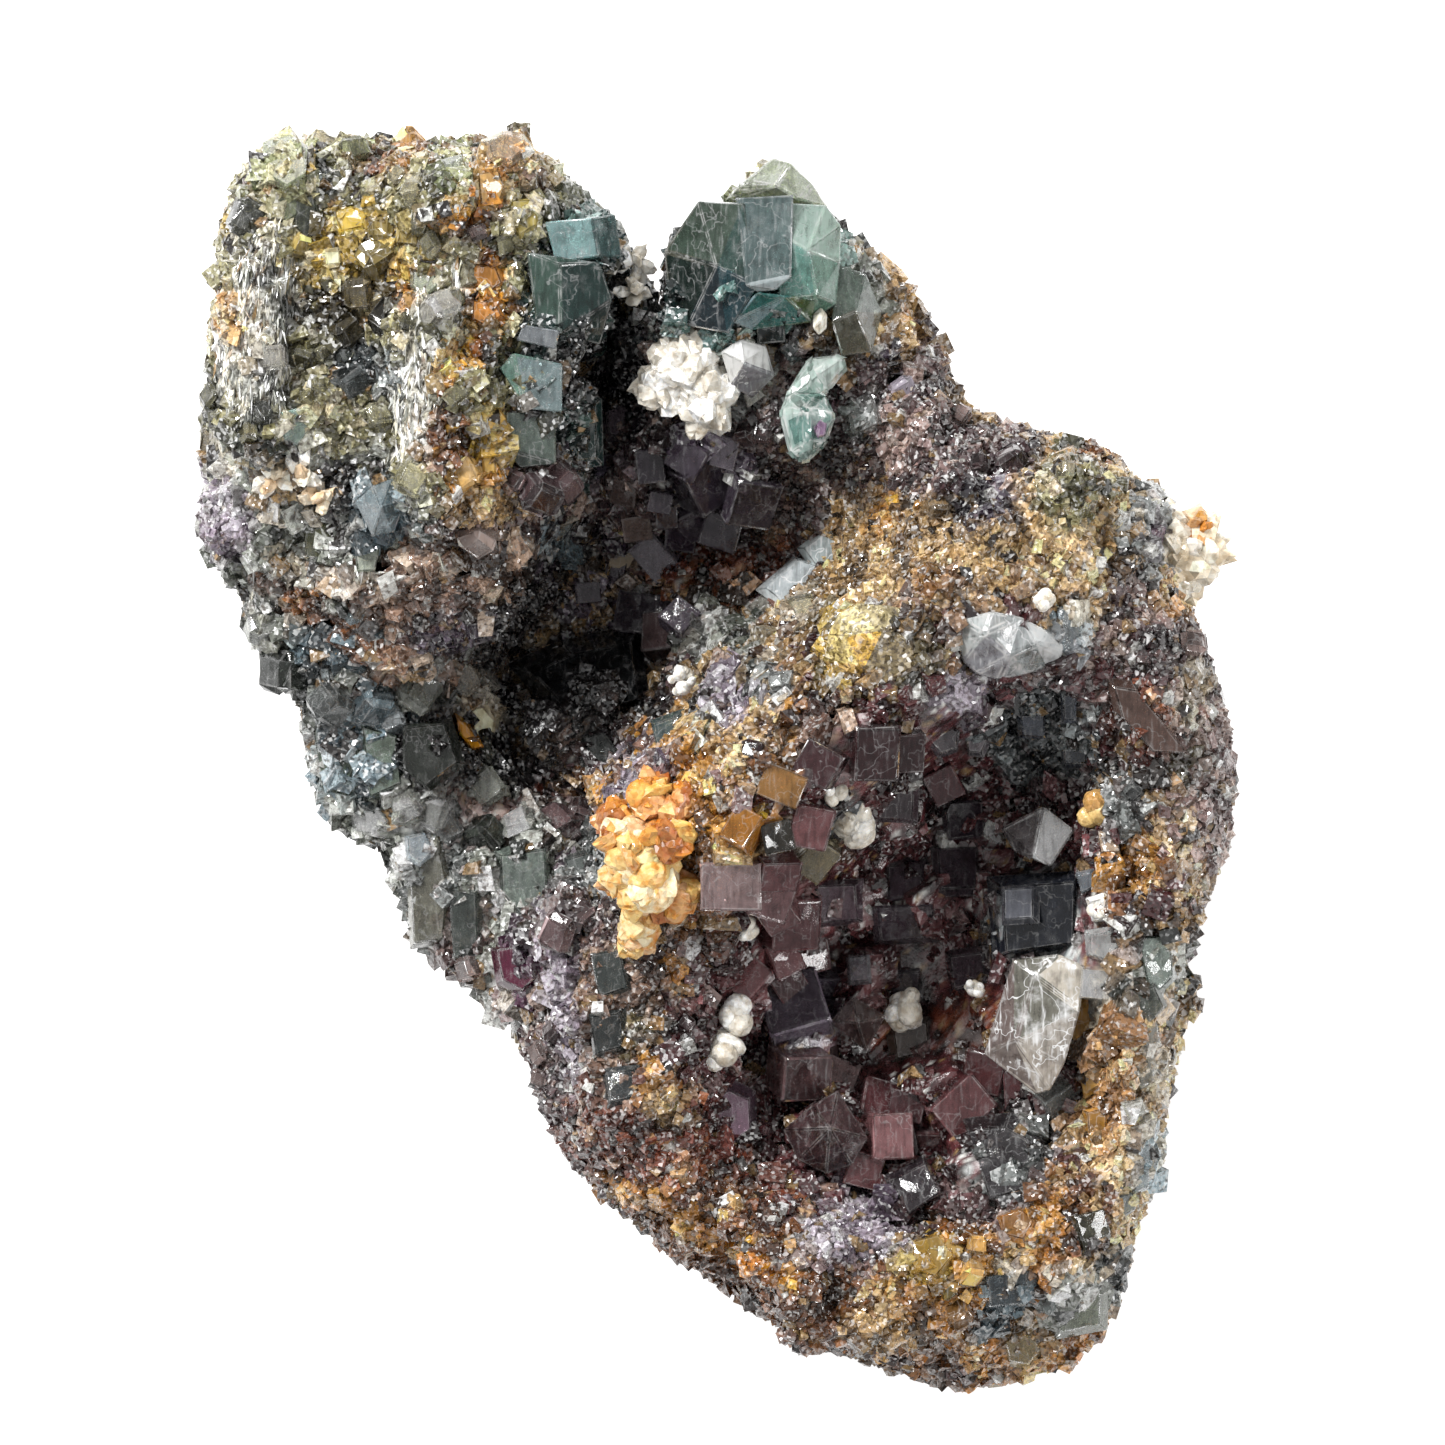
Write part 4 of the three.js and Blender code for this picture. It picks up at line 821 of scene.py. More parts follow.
def trimmed(points):
    """Points drawn in to the outline that shows in the photograph, at their own heights."""
    seen = in_photo(points)
    for axis, side, outline in TRIMS:
        limits, places = np.array(outline, float)[:, [axis, 1 - axis]].T
        along = seen[:, 1 - axis]
        beyond = (seen[:, axis] - np.interp(along, places, limits)) * side
        rows = (along > places[0]) & (along < places[-1]) & (beyond > 0)
        seen[rows, axis] -= side * beyond[rows] * (1 - TRIMMED)
    return in_space(np.column_stack([seen, points[:, 2]]))


# Odd numbers that mix a cell's place, its seed and their bits, and the largest mixed value
MIX_ACROSS, MIX_UP, MIX_SEED, MIX_BITS, MIXED = 374761393, 668265263, 97531, 1274126177, 0xFFFF
MIX_SHIFTS = (13, 16)  # bits by which a value is shifted before it is mixed with itself


def wander(points, seed):
    """Smooth noise from -1 to 1 over a plane."""
    cell = np.floor(points).astype(np.int64)
    share = points - cell
    share = share * share * (3 - 2 * share)

    def corner(right, up):
        mixed = (cell[:, 0] + right) * MIX_ACROSS + (cell[:, 1] + up) * MIX_UP + seed * MIX_SEED
        mixed = (mixed ^ (mixed >> MIX_SHIFTS[0])) * MIX_BITS
        return ((mixed ^ (mixed >> MIX_SHIFTS[1])) & MIXED) / (MIXED / 2) - 1

    low = corner(0, 0) * (1 - share[:, 0]) + corner(1, 0) * share[:, 0]
    high = corner(0, 1) * (1 - share[:, 0]) + corner(1, 1) * share[:, 0]
    return low * (1 - share[:, 1]) + high * share[:, 1]


NEARLY = 0.9  # how much of a direction lies along an axis that it nearly follows


def upright(directions, spins):
    """Rotations that take +Z to each direction, turned about it by each spin in radians."""
    up = directions / np.linalg.norm(directions, axis=1, keepdims=True)
    side = np.where(np.abs(up[:, 1:2]) < NEARLY, [[0.0, 1.0, 0.0]], [[1.0, 0.0, 0.0]])
    right = np.cross(side, up)
    right /= np.linalg.norm(right, axis=1, keepdims=True)
    ahead = np.cross(up, right)
    turn, slant = np.cos(spins)[:, None], np.sin(spins)[:, None]
    return np.stack([right * turn + ahead * slant, ahead * turn - right * slant, up], 2)


def minerals_at(points, random):
    """The number of the mineral that shows at each point."""
    seen = in_photo(points)
    bends = [wander(seen / BEND_WIDTH, seed) for seed in BEND_SEEDS]
    seen = seen + BEND_REACH * np.stack(bends, 1)
    side = np.column_stack([points[:, 2], points[:, 0] + points[:, 1]]) / SIDE_CELL
    low, high = SIDE_HEIGHT
    deep = np.clip((high - points[:, 2]) / (high - low), 0, 1)[:, None]
    seen = seen + SIDE_WANDER * deep * np.stack([wander(side, seed) for seed in SIDE_SEEDS], 1)
    names = list(MINERALS)
    found = np.full(len(points), names.index("plateau"))
    for number, (across, down, wide, high, mineral, *turn) in enumerate(PATCHES):
        angle = radians(turn[0]) if turn else 0
        c, s = cos(angle), sin(angle)
        right, below = seen[:, 0] - across, seen[:, 1] - down
        reach = np.hypot((right * c + below * s) / wide, (below * c - right * s) / high)
        ragged = 0.5 + RAG * wander(seen / RAG_WIDTH, number + RAG_SEED)
        ragged = ragged + RAG_CHANCE * (random.random(len(points)) - 0.5)
        found[ragged < (BORDER_END - reach) / BORDER_SOFTNESS] = names.index(mineral)
    low, high = BACK_HEIGHT
    on_back = random.random(len(points)) > (points[:, 2] - low) / (high - low)
    zone = points[:, :2] / BACK_CELL[0] + points[:, 2:] / BACK_CELL[1]
    zone = wander(zone, BACK_SEED) * BACK_VARIETY
    zone = zone + random.normal(0, BACK_CHANCE, len(points))
    back = np.array([names.index(name) for name in BACK_MINERALS])
    found[on_back] = back[np.clip(np.abs(zone) * 2, 0, len(back) - 1).astype(int)][on_back]
    return found


def shades_of(found, points, chances, spread, dust_and_glints=DUST_AND_GLINTS):
    """A shade for each point: from dark to light along its mineral's range, in soft clouds."""
    seen = in_photo(points) + points[:, 2:] * CLOUD_SLANT
    level = 0.5
    for strength, width, seed in CLOUDS:
        level = level + strength * wander(seen / width, seed)
    level = level + spread * (chances[0] - 0.5) * 2
    shades = np.zeros((len(found), 3))
    for number, (name, (_, _, _, choices)) in enumerate(MINERALS.items()):
        rows = np.flatnonzero(found == number)
        choices = sorted(choices, key=lambda choice: sum(choice[1]))
        shares = np.cumsum([0] + [share for share, _ in choices], dtype=float)
        middles = (shares[1:] + shares[:-1]) / 2 / shares[-1]
        colours = np.array([linear(shade) for _, shade in choices])
        if name in WARM:
            colours = colours * WARMTH
        if name in STAINED:
            colours = colours * STAIN
        for part in range(3):
            shades[rows, part] = np.interp(level[rows], middles, colours[:, part])
    # No strewn grains or painted glints in the painted shade of the black mineral
    odd = np.where(found == list(MINERALS).index("black"), 1, chances[1])
    # Strewn grains, and white ones that are painted glints
    for low, high, shade in dust_and_glints:
        shades[(odd > low) & (odd < high)] = linear(shade)
    return shades


def soft_shades(found, points, random, spread):
    """Shades that run into those of the neighbouring minerals."""
    beside = points + random.normal(0, BORDER_BLUR, points.shape)
    chances = random.random((2, len(points)))
    own = shades_of(found, points, chances, spread)
    other = shades_of(minerals_at(beside, random), points, chances, spread)
    return own * OWN_SHADE + other * (1 - OWN_SHADE)


# Meshes


def deselect():
    """Nothing is selected any more."""
    for obj in bpy.context.view_layer.objects:
        obj.select_set(False)


def activate(obj):
    """One object alone is selected and active."""
    deselect()
    obj.select_set(True)
    bpy.context.view_layer.objects.active = obj


def apply_modifier(obj, kind, **settings):
    """Adds a modifier with its settings and applies it."""
    activate(obj)
    modifier = obj.modifiers.new(kind.lower(), kind)
    for key, value in settings.items():
        setattr(modifier, key, value)
    bpy.ops.object.modifier_apply(modifier=modifier.name)


def edit(obj, mode="FACE"):
    """Opens an object in edit mode."""
    activate(obj)
    bpy.ops.object.mode_set(mode="EDIT")
    bpy.ops.mesh.select_mode(type=mode)


def leave_edit():
    """Back to object mode."""
    bpy.ops.object.mode_set(mode="OBJECT")


def as_arrays(obj):
    """Corners and triangles of an object, which is then removed."""
    edit(obj)
    bpy.ops.mesh.select_all(action="SELECT")
    bpy.ops.mesh.quads_convert_to_tris()
    leave_edit()
    mesh = obj.data
    corners = np.array([vertex.co for vertex in mesh.vertices])
    triangles = np.array([list(face.vertices) for face in mesh.polygons])
    bpy.data.objects.remove(obj)
    bpy.data.meshes.remove(mesh)
    return corners, triangles


def broken_edges(obj, width, rim):
    """Bevels all edges and insets the broad faces: how many corners lie on the edges."""
    edit(obj, "EDGE")
    bpy.ops.mesh.select_all(action="SELECT")
    bpy.ops.mesh.normals_make_consistent(inside=False)
    bpy.ops.mesh.bevel(offset=width, segments=1, affect="EDGES")
    leave_edit()
    on_edge = len(obj.data.vertices)
    for face in obj.data.polygons:
        face.select = face.area > BROAD_FACE * width * width
    edit(obj)
    bpy.ops.mesh.inset(thickness=rim, depth=0, use_individual=True)
    leave_edit()
    return on_edge


def edged_cube(edge, rim):
    """A cube with broken edges and a thin rim round each face."""
    deselect()
    bpy.ops.mesh.primitive_cube_add(size=1)
    obj = bpy.context.object
    on_edge = broken_edges(obj, edge, rim)
    return *as_arrays(obj), on_edge


def plain_chip():
    """A cube without broken edges, for grains."""
    deselect()
    bpy.ops.mesh.primitive_cube_add(size=1)
    return *as_arrays(bpy.context.object), 0


def splinter():
    """A crystal of eight faces."""
    deselect()
    bpy.ops.mesh.primitive_circle_add(vertices=4, radius=SPLINTER_REACH, fill_type="NGON")
    obj = bpy.context.object
    edit(obj)
    bpy.ops.mesh.select_all(action="SELECT")
    bpy.ops.mesh.poke(offset=SPLINTER_REACH)
    leave_edit()
    apply_modifier(obj, "MIRROR", use_axis=(False, False, True), use_mirror_merge=True)
    edit(obj)
    bpy.ops.mesh.select_all(action="SELECT")
    bpy.ops.mesh.normals_make_consistent(inside=False)
    leave_edit()
    return *as_arrays(obj), 0


def calcite_petal():
    """A blunt six-sided crystal: widest at two thirds of its height, with a low point.

    The foot is extruded along with the top, which leaves faces inside that don't show.
    """
    deselect()
    low, wide, height = PETAL_FOOT
    bpy.ops.mesh.primitive_cone_add(
        vertices=6, radius1=low, radius2=wide, depth=height, location=(0, 0, height / 2))
    obj = bpy.context.object
    obj.data.transform(obj.matrix_world)
    obj.matrix_world.identity()
    for face in obj.data.polygons:
        face.select = face.normal.z > NEARLY
    edit(obj)
    for rise, narrowing, height in PETAL_TIP:
        bpy.ops.mesh.extrude_region_move(TRANSFORM_OT_translate={"value": (0, 0, rise)})
        bpy.ops.transform.resize(value=(narrowing, narrowing, 1), center_override=(0, 0, height))
    leave_edit()
    return *as_arrays(obj), 0


def round_lump():
    """A ball, one across."""
    deselect()
    bpy.ops.mesh.primitive_ico_sphere_add(subdivisions=3, radius=0.5)
    return *as_arrays(bpy.context.object), 0


SHAPES = {}  # those made so far


def shape(name):
    """Corners, triangles and number of edge corners of what grows in numbers, modelled once."""
    makers = {
        "chip": plain_chip, "splinter": splinter, "petal": calcite_petal, "lump": round_lump,
    }
    if name not in SHAPES:
        SHAPES[name] = edged_cube(*CUBES[name]) if name in CUBES else makers[name]()
    return SHAPES[name]


def sides_of(corners, triangles):
    """The number of the flat side that each triangle lies in."""
    a, b, c = (corners[triangles[:, part]] for part in range(3))
    across = np.cross(b - a, c - a)
    across /= np.linalg.norm(across, axis=1, keepdims=True)
    return np.unique(np.round(across, 1), axis=0, return_inverse=True)[1].ravel()


def strayed(shades, sides, random, most=SIDE_STRAY):
    """The shades of each crystal's triangles: its sides stray a little from its own shade, as painted
    light and shade on its faces.
    """
    stray = np.exp(random.normal(0, most, (len(shades), sides.max() + 1)))
    return (shades[:, None] * stray[:, sides, None]).reshape(-1, 3)


def copies(name, middles, sizes, rotations, shades, jitter, random):
    """Copies of a shape, each with its own corners: corners, triangles, shades and edges."""
    corners, triangles, on_edge = shape(name)
    loose = corners[None] * (1 + random.normal(0, jitter, (len(middles), len(corners), 3)))
    placed = np.einsum("nij,nkj->nki", rotations, loose * sizes[:, None, :]) + middles[:, None, :]
    shift = (np.arange(len(middles)) * len(corners))[:, None, None]
    edges = np.tile(np.arange(len(corners)) < on_edge, len(middles))
    sides = sides_of(corners, triangles)
    shades = strayed(shades, sides, random, SIDE_STRAYS.get(name, SIDE_STRAY))
    return placed.reshape(-1, 3), (triangles[None] + shift).reshape(-1, 3), shades, edges


def joined(parts):
    """Several sets of copies as one: corners, triangles, shades and edges."""
    rows, count = [], 0
    for corners, triangles, shades, edges in parts:
        rows.append((corners, triangles + count, shades, edges))
        count += len(corners)
    return [np.concatenate(column) for column in zip(*rows)]


def paint(mesh, domain, shades):
    """Shades as an attribute, for each point or each corner of a face."""
    layer = mesh.attributes.new("tint", "FLOAT_COLOR", domain)
    full = np.ones((len(shades), 4), np.float32)
    full[:, :3] = np.clip(shades, 0, 1)
    layer.data.foreach_set("color", full.ravel())


def piece(name, corners, triangles, shades, edges, material, slot, nodes=()):
    """A mesh in the row frame, made from arrays in millimetres, with its shades and finish."""
    corners[:, 2] = np.maximum(corners[:, 2], LOWEST)
    mesh = bpy.data.meshes.new(name)
    mesh.vertices.add(len(corners))
    mesh.vertices.foreach_set("co", (corners * MM).astype(np.float32).ravel())
    mesh.loops.add(triangles.size)
    mesh.loops.foreach_set("vertex_index", triangles.ravel().astype(np.int32))
    mesh.polygons.add(len(triangles))
    mesh.polygons.foreach_set("loop_start", np.arange(0, triangles.size, 3, dtype=np.int32))
    mesh.update(calc_edges=True)
    mesh.validate()
    mesh.shade_flat()
    paint(mesh, "CORNER", np.repeat(shades, 3, 0))
    # The edge attribute marks the broken edges that the glassy finishes paint lighter, as wear and
    # painted edge highlight
    mesh.attributes.new("edge", "FLOAT", "POINT").data.foreach_set("value", edges.astype(np.float32))
    mesh.materials.append(material)
    obj = bpy.data.objects.new(name, mesh)
    bpy.context.scene.collection.objects.link(obj)
    settle(obj, nodes)
    return obj


def settle(obj, nodes=()):
    """Says what a finished piece moves with and stands for."""
    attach(obj, BODY)
    if nodes:
        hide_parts(*nodes)


def triangles_of(obj):
    """Corners in millimetres and triangles of an object."""
    mesh = obj.data
    mesh.calc_loop_triangles()
    corners = np.zeros(len(mesh.vertices) * 3, np.float32)
    mesh.vertices.foreach_get("co", corners)
    rows = np.zeros(len(mesh.loop_triangles) * 3, np.int32)
    mesh.loop_triangles.foreach_get("vertices", rows)
    return corners.reshape(-1, 3).astype(float) / MM, rows.reshape(-1, 3)


# Materials


class Value:
    """A shader socket that takes part in Python sums: each sum adds its Math node."""

    def __init__(self, tree, socket):
        self.tree, self.socket = tree, socket

    def sum(self, operation, first, second):
        math = self.tree.nodes.new("ShaderNodeMath")
        math.operation = operation
        for place, value in enumerate((first, second)):
            if isinstance(value, Value):
                self.tree.links.new(value.socket, math.inputs[place])
            else:
                math.inputs[place].default_value = value
        return Value(self.tree, math.outputs[0])

    def __add__(self, other):
        return self.sum("ADD", self, other)

    def __sub__(self, other):
        return self.sum("SUBTRACT", self, other)

    def __mul__(self, other):
        return self.sum("MULTIPLY", self, other)

    def __rsub__(self, other):
        return self.sum("SUBTRACT", other, self)

    __radd__, __rmul__ = __add__, __mul__


class Finish:
    """A material whose nodes are added one at a time."""

    def __init__(self, name):
        self.material = bpy.data.materials.new(name)
        self.material.use_nodes = True
        self.tree = self.material.node_tree
        self.tree.nodes.clear()

    def node(self, kind, settings=None, sockets=None, output=0):
        """One node: settings first, then the values or links of its sockets."""
        node = self.tree.nodes.new("ShaderNode" + kind)
        for key, value in (settings or {}).items():
            setattr(node, key, value)
        for key, value in (sockets or {}).items():
            if isinstance(value, Value):
                self.tree.links.new(value.socket, node.inputs[key])
            else:
                node.inputs[key].default_value = value
        return Value(self.tree, node.outputs[output])

    def place(self):
        """Object coordinates."""
        return self.node("TexCoord", output="Object")

    def noise(self, width_mm, detail=3.0, rough=0.55):
        """Noise from 0 to 1 with lumps of about that width."""
        return self.node(
            "TexNoise", None,
            {"Vector": self.place(), "Scale": 1 / (width_mm * MM), "Detail": detail,
             "Roughness": rough})

    def tint(self):
        """The shade that each crystal carries."""
        return self.node("Attribute", {"attribute_name": "tint"}, output="Color")

    def vector(self, operation, first, second=(0, 0, 0)):
        return self.node("VectorMath", {"operation": operation}, {0: first, 1: second})

    def mix(self, first, second, share, blend="MIX"):
        return self.node(
            "Mix", {"data_type": "RGBA", "blend_type": blend}, {0: share, 6: first, 7: second},
            output=2)

    def steep(self, value, low, high):
        """A value stretched so that low becomes 0 and high becomes 1."""
        return self.node(
            "MapRange", None, {"Value": value, "From Min": low, "From Max": high})

    def bump(self, height, strength, depth_mm, normal):
        """A normal that also follows the height of the surface."""
        return self.node("Bump", None, {
            "Strength": strength, "Distance": depth_mm * MM, "Height": height, "Normal": normal})

    def surface(self, sockets, volume=None):
        """The finished material, with what it takes up inside, if anything."""
        shader = self.node("BsdfPrincipled", None, sockets)
        output = self.tree.nodes.new("ShaderNodeOutputMaterial")
        self.tree.links.new(shader.socket, output.inputs["Surface"])
        if volume:
            colour, density = volume
            body = self.node("VolumeAbsorption", None, {"Color": colour, "Density": density})
            self.tree.links.new(body.socket, output.inputs["Volume"])
        return self.material


def sugar(finish, width_mm, lean, stretch=(1, 1, 1)):
    """A normal that leans another way on each small crystal face, and that face's chance."""
    place = finish.node("Mapping", None, {"Vector": finish.place(), "Scale": stretch})
    cells = {"Vector": place, "Scale": 1 / (width_mm * MM)}
    chance = finish.node("TexVoronoi", None, cells, "Color")
    stray = finish.vector("SUBTRACT", chance, (0.5, 0.5, 0.5))
    stray = finish.vector("MULTIPLY", stray, (lean, lean, lean))
    normal = finish.node("NewGeometry", output="Normal")
    normal = finish.vector("NORMALIZE", finish.vector("ADD", normal, stray))
    return normal, finish.node("SeparateColor", None, {"Color": chance}, "Green")


def rock_skin():
    """Broken, sugary rock: small faces that each catch the light, painted white glints and dark specks
    painted as the shade of pits.
    """
    finish = Finish("rock_skin")
    normal, chance = sugar(finish, 0.25, 1.3)
    lumps, grit = finish.noise(0.9, 4), finish.noise(0.2, 3)
    # Dark specks where the grit, also the bump's height, is low: painted shade of pits
    shade = finish.mix(finish.tint(), (0.22, 0.18, 0.15, 1), finish.steep(grit, 0.52, 0.38) * 0.9,
                       "MULTIPLY")
    shade = finish.mix(shade, (0.4, 0.38, 0.36, 1), finish.steep(lumps, 0.55, 0.35), "MULTIPLY")
    # White on a few small faces: painted glints
    shade = finish.mix(shade, (1, 1, 1, 1), finish.steep(chance, 0.9, 1) * 0.5)
    return finish.surface({
        "Base Color": shade,
        "Roughness": finish.steep(chance, 0.1, 0.9) * 0.5 + 0.12,
        "IOR": 1.6,
        "Specular IOR Level": 0.8,
        "Normal": finish.bump(grit, 0.6, 0.1, normal),
    })


def facet_skin():
    """Crystal faces of the masses: glossy, cloudy and finely stepped."""
    finish = Finish("facet_skin")
    cloud, grain = finish.noise(1.4, 5, 0.65), finish.noise(0.14, 3)
    normal, _ = sugar(finish, 0.9, 0.3)
    shade = finish.mix(
        finish.tint(), (0.25, 0.23, 0.23, 1), finish.steep(cloud, 0.52, 0.36), "MULTIPLY")
    shade = finish.mix(shade, (0.6, 0.6, 0.6, 1), finish.steep(cloud, 0.58, 0.8) * 0.4, "SCREEN")
    return finish.surface({
        "Base Color": shade,
        "Roughness": finish.steep(grain, 0.4, 0.75) * 0.35 + 0.06,
        "IOR": 1.6,
        "Specular IOR Level": 0.8,
        "Transmission Weight": 0.2,
        "Normal": finish.bump(grain + cloud, 0.5, 0.08, normal),
    })


def grain_skin():
    """Small crystals grown together: glassy, with faces that each catch the light and painted white
    glints on some.
    """
    finish = Finish("grain_skin")
    normal, chance = sugar(finish, 0.18, 1.0)
    mottle = finish.noise(0.3, 3)
    shade = finish.mix(
        finish.tint(), (0.32, 0.28, 0.26, 1), finish.steep(mottle, 0.5, 0.36), "MULTIPLY")
    # White on a few small faces: painted glints
    shade = finish.mix(shade, (1, 1, 0.98, 1), finish.steep(chance, 0.84, 0.98) * 0.6)
    return finish.surface({
        "Base Color": shade,
        "Roughness": finish.steep(chance, 0.1, 0.8) * 0.4 + 0.06,
        "IOR": 1.6,
        "Specular IOR Level": 0.9,
        "Transmission Weight": 0.5,
        "Normal": normal,
    })


def column_skin():
    """Silvery striations: fine lengthwise faces that catch the light, with painted glints and painted
    shade on some.
    """
    finish = Finish("column_skin")
    normal, chance = sugar(finish, 0.15, 1.5, (1, 0.22, 1))
    # Darker where the face's chance is low: painted shade
    shade = finish.mix(
        finish.tint(), (0.45, 0.45, 0.42, 1), finish.steep(chance, 0.45, 0.15), "MULTIPLY")
    # White where it is high: painted glints
    shade = finish.mix(shade, (1, 1, 1, 1), finish.steep(chance, 0.7, 0.95) * 0.8)
    return finish.surface({
        "Base Color": shade,
        "Roughness": 0.14,
        "IOR": 1.7,
        "Specular IOR Level": 1.0,
        "Normal": normal,
    })


# Glassy finishes: the material's name, how much of the light goes in, the colour and strength of
# what it takes up, how cloudy it is, how light its edges are painted as wear and edge highlight,
# lean of its small faces, and gloss
GLASS = {
    "teal": ("teal_glass", 0.66, (0.6, 0.84, 0.8), 200, 0.25, 0.6, 0.1, 0.45),
    "grey": ("grey_glass", 0.8, (0.76, 0.8, 0.78), 100, 0.2, 0.6, 0.16, 0.6),
    "purple": ("purple_glass", 0.6, (0.84, 0.6, 0.6), 150, 0.08, 0.4, 0.1, 0.4),
    "clear": ("pale_glass", 0.78, (0.88, 0.92, 0.88), 80, 0.3, 0.6, 0.16, 0.6),
    "milky": ("milky_glass", 0.45, (0.92, 0.91, 0.89), 60, 0.9, 0.5, 0.16, 0.6),
    "frosted": ("frosted_glass", 0.6, (0.94, 0.96, 0.96), 30, 0.8, 1.0, 0.16, 0.6),
    "amber": ("amber_glass", 0.45, (0.92, 0.78, 0.45), 140, 0.12, 0.15, 0.7, 0.6),
    "tooth": ("frosted_green", 0.55, (0.8, 0.92, 0.87), 100, 0.4, 0.9, 0.16, 0.6),
    "crystal": ("water_clear", 0.75, (0.94, 0.96, 0.96), 30, 0.4, 1.0, 0.16, 0.6),
}
# Calcite finishes: the material's name and the stain in its folds
CALCITE = {
    "calcite": ("calcite_white", (0.72, 0.66, 0.58)),
    "ochre": ("calcite_ochre", (0.86, 0.56, 0.26)),
}


def crystal_glass(name, see_through, absorbed, density, cloudy, edges, lean, gloss):
    """Fluorite that light goes into: clouds, growth lines, healed cracks, light worn edges and painted
    edge highlights.
    """
    finish = Finish(name)
    cloud, grain = finish.noise(1.3, 5, 0.65), finish.noise(0.1, 3)
    lines = finish.node("Mapping", None, {"Vector": finish.place(), "Scale": (4, 0.6, 1)})
    lines = finish.node("TexNoise", None, {"Vector": lines, "Scale": 1 / (0.8 * MM), "Detail": 4.0})
    cracks = finish.node("Math", {"operation": "ABSOLUTE"}, {0: finish.noise(2.4, 3, 0.6) - 0.5})
    normal, _ = sugar(finish, 0.6, lean)
    shade = finish.mix(
        finish.tint(), (0.42, 0.39, 0.38, 1), finish.steep(cloud, 0.5, 0.36) * 0.6, "MULTIPLY")
    shade = finish.mix(shade, (0.5, 0.5, 0.5, 1), finish.steep(lines, 0.47, 0.36) * 0.6, "MULTIPLY")
    shade = finish.mix(shade, (0.85, 0.85, 0.85, 1), finish.steep(lines, 0.57, 0.72) * (cloudy + 0.1),
                       "SCREEN")
    shade = finish.mix(
        shade, (0.9, 0.9, 0.9, 1), finish.steep(cloud, 0.54, 0.75) * cloudy, "SCREEN")
    shade = finish.mix(shade, (0.95, 0.95, 0.95, 1), finish.steep(cracks, 0.008, 0.002) * (cloudy + 0.1))
    # The broken edges painted lighter in patches: partly chipped wear, partly painted edge highlight
    edge = finish.node("Attribute", {"attribute_name": "edge"}, output="Fac")
    worn = finish.steep(finish.noise(0.6, 3), 0.4, 0.6)
    shade = finish.mix(shade, (0.95, 0.94, 0.92, 1), finish.steep(edge, 0.3, 1) * worn * edges)
    return finish.surface({
        "Base Color": shade,
        "Roughness": finish.steep(grain, 0.45, 0.75) * 0.15 + 0.03,
        "IOR": 1.45,
        "Specular IOR Level": gloss,
        "Transmission Weight": see_through,
        "Normal": finish.bump(grain * 0.3 + cloud, 0.3, 0.05, normal),
    }, ((*absorbed, 1), density))


def calcite_skin(name, deep):
    """Calcite: satin and sugary, with a trace of stain in its folds."""
    finish = Finish(name)
    normal, chance = sugar(finish, 0.3, 0.6)
    stain = finish.noise(0.5, 4)
    shade = finish.mix(finish.tint(), (*deep, 1), finish.steep(stain, 0.56, 0.34), "MULTIPLY")
    return finish.surface({
        "Base Color": shade,
        "Roughness": finish.steep(chance, 0.1, 0.9) * 0.4 + 0.15,
        "IOR": 1.55,
        "Transmission Weight": 0.15,
        "Subsurface Weight": 0.2,
        "Subsurface Radius": (1.0, 0.8, 0.6),
        "Subsurface Scale": 0.4 * MM,
        "Normal": normal,
    })


MADE = {}  # those made so far


def finish_of(name):
    """The material of a finish."""
    makers = {"rock": rock_skin, "facets": facet_skin, "grain": grain_skin, "column": column_skin}
    if name not in MADE:
        if name in GLASS:
            MADE[name] = crystal_glass(*GLASS[name])
        elif name in CALCITE:
            MADE[name] = calcite_skin(*CALCITE[name])
        else:
            MADE[name] = makers[name]()
    return MADE[name]


# Growth

GROUND = {}  # its search tree, once it is made


def body_of(node):
    """The body of a mass, whose name is the third from the end of its row."""
    return bpy.data.objects[MASSES[node][-3]]


def ground():
    """What the crystals stand on: all the masses as one search tree, in millimetres."""
    if "tree" not in GROUND:
        parts = []
        for node in MASSES:
            corners, rows = triangles_of(body_of(node))
            parts.append((corners, rows, rows, corners))
        corners, rows, _, _ = joined(parts)
        GROUND["tree"] = BVHTree.FromPolygons(corners.tolist(), rows.tolist())
    return GROUND["tree"]


def plane_under(pixels, rise, tree):
    """Slopes and height of a crystal face: it follows what the lens sees behind it."""
    pixels = np.asarray(pixels, float)
    middle = pixels.mean(0)
    probes = np.concatenate([middle + (pixels - middle) * share for share in PROBES])
    spots = [tree.ray_cast(Vector(LENS_AT), Vector(line))[0] for line in sights(probes)]
    spots = np.array([spot for spot in spots if spot])
    spots = spots[np.abs(spots[:, 2] - np.median(spots[:, 2])) < DEEPEST_STEP]
    table = np.column_stack([spots[:, :2], np.ones(len(spots))])
    across, along, _ = np.linalg.lstsq(table, spots[:, 2], rcond=None)[0]
    ease = min(1, DEEPEST_SLOPE / max(np.hypot(across, along), LEAST_SLOPE))
    across, along = across * ease, along * ease
    heights = spots[:, 2] - across * spots[:, 0] - along * spots[:, 1]
    return across, along, np.quantile(heights, FACE_LEVEL) + rise


def on_plane(pixels, plane):
    """Where the lens sees pixels on a plane given by its slopes and height."""
    across, along, height = plane
    lines = sights(pixels)
    reach = (across * LENS_AT[0] + along * LENS_AT[1] + height - LENS_AT[2]) / (
        lines[:, 2] - across * lines[:, 0] - along * lines[:, 1])
    return LENS_AT + lines * reach[:, None]


def in_space(corners):
    """Where corners given as pixel across, pixel down and millimetres up lie."""
    corners = np.asarray(corners, float)
    lines = sights(corners[:, :2])
    return LENS_AT + lines * ((corners[:, 2] - LENS_AT[2]) / lines[:, 2])[:, None]


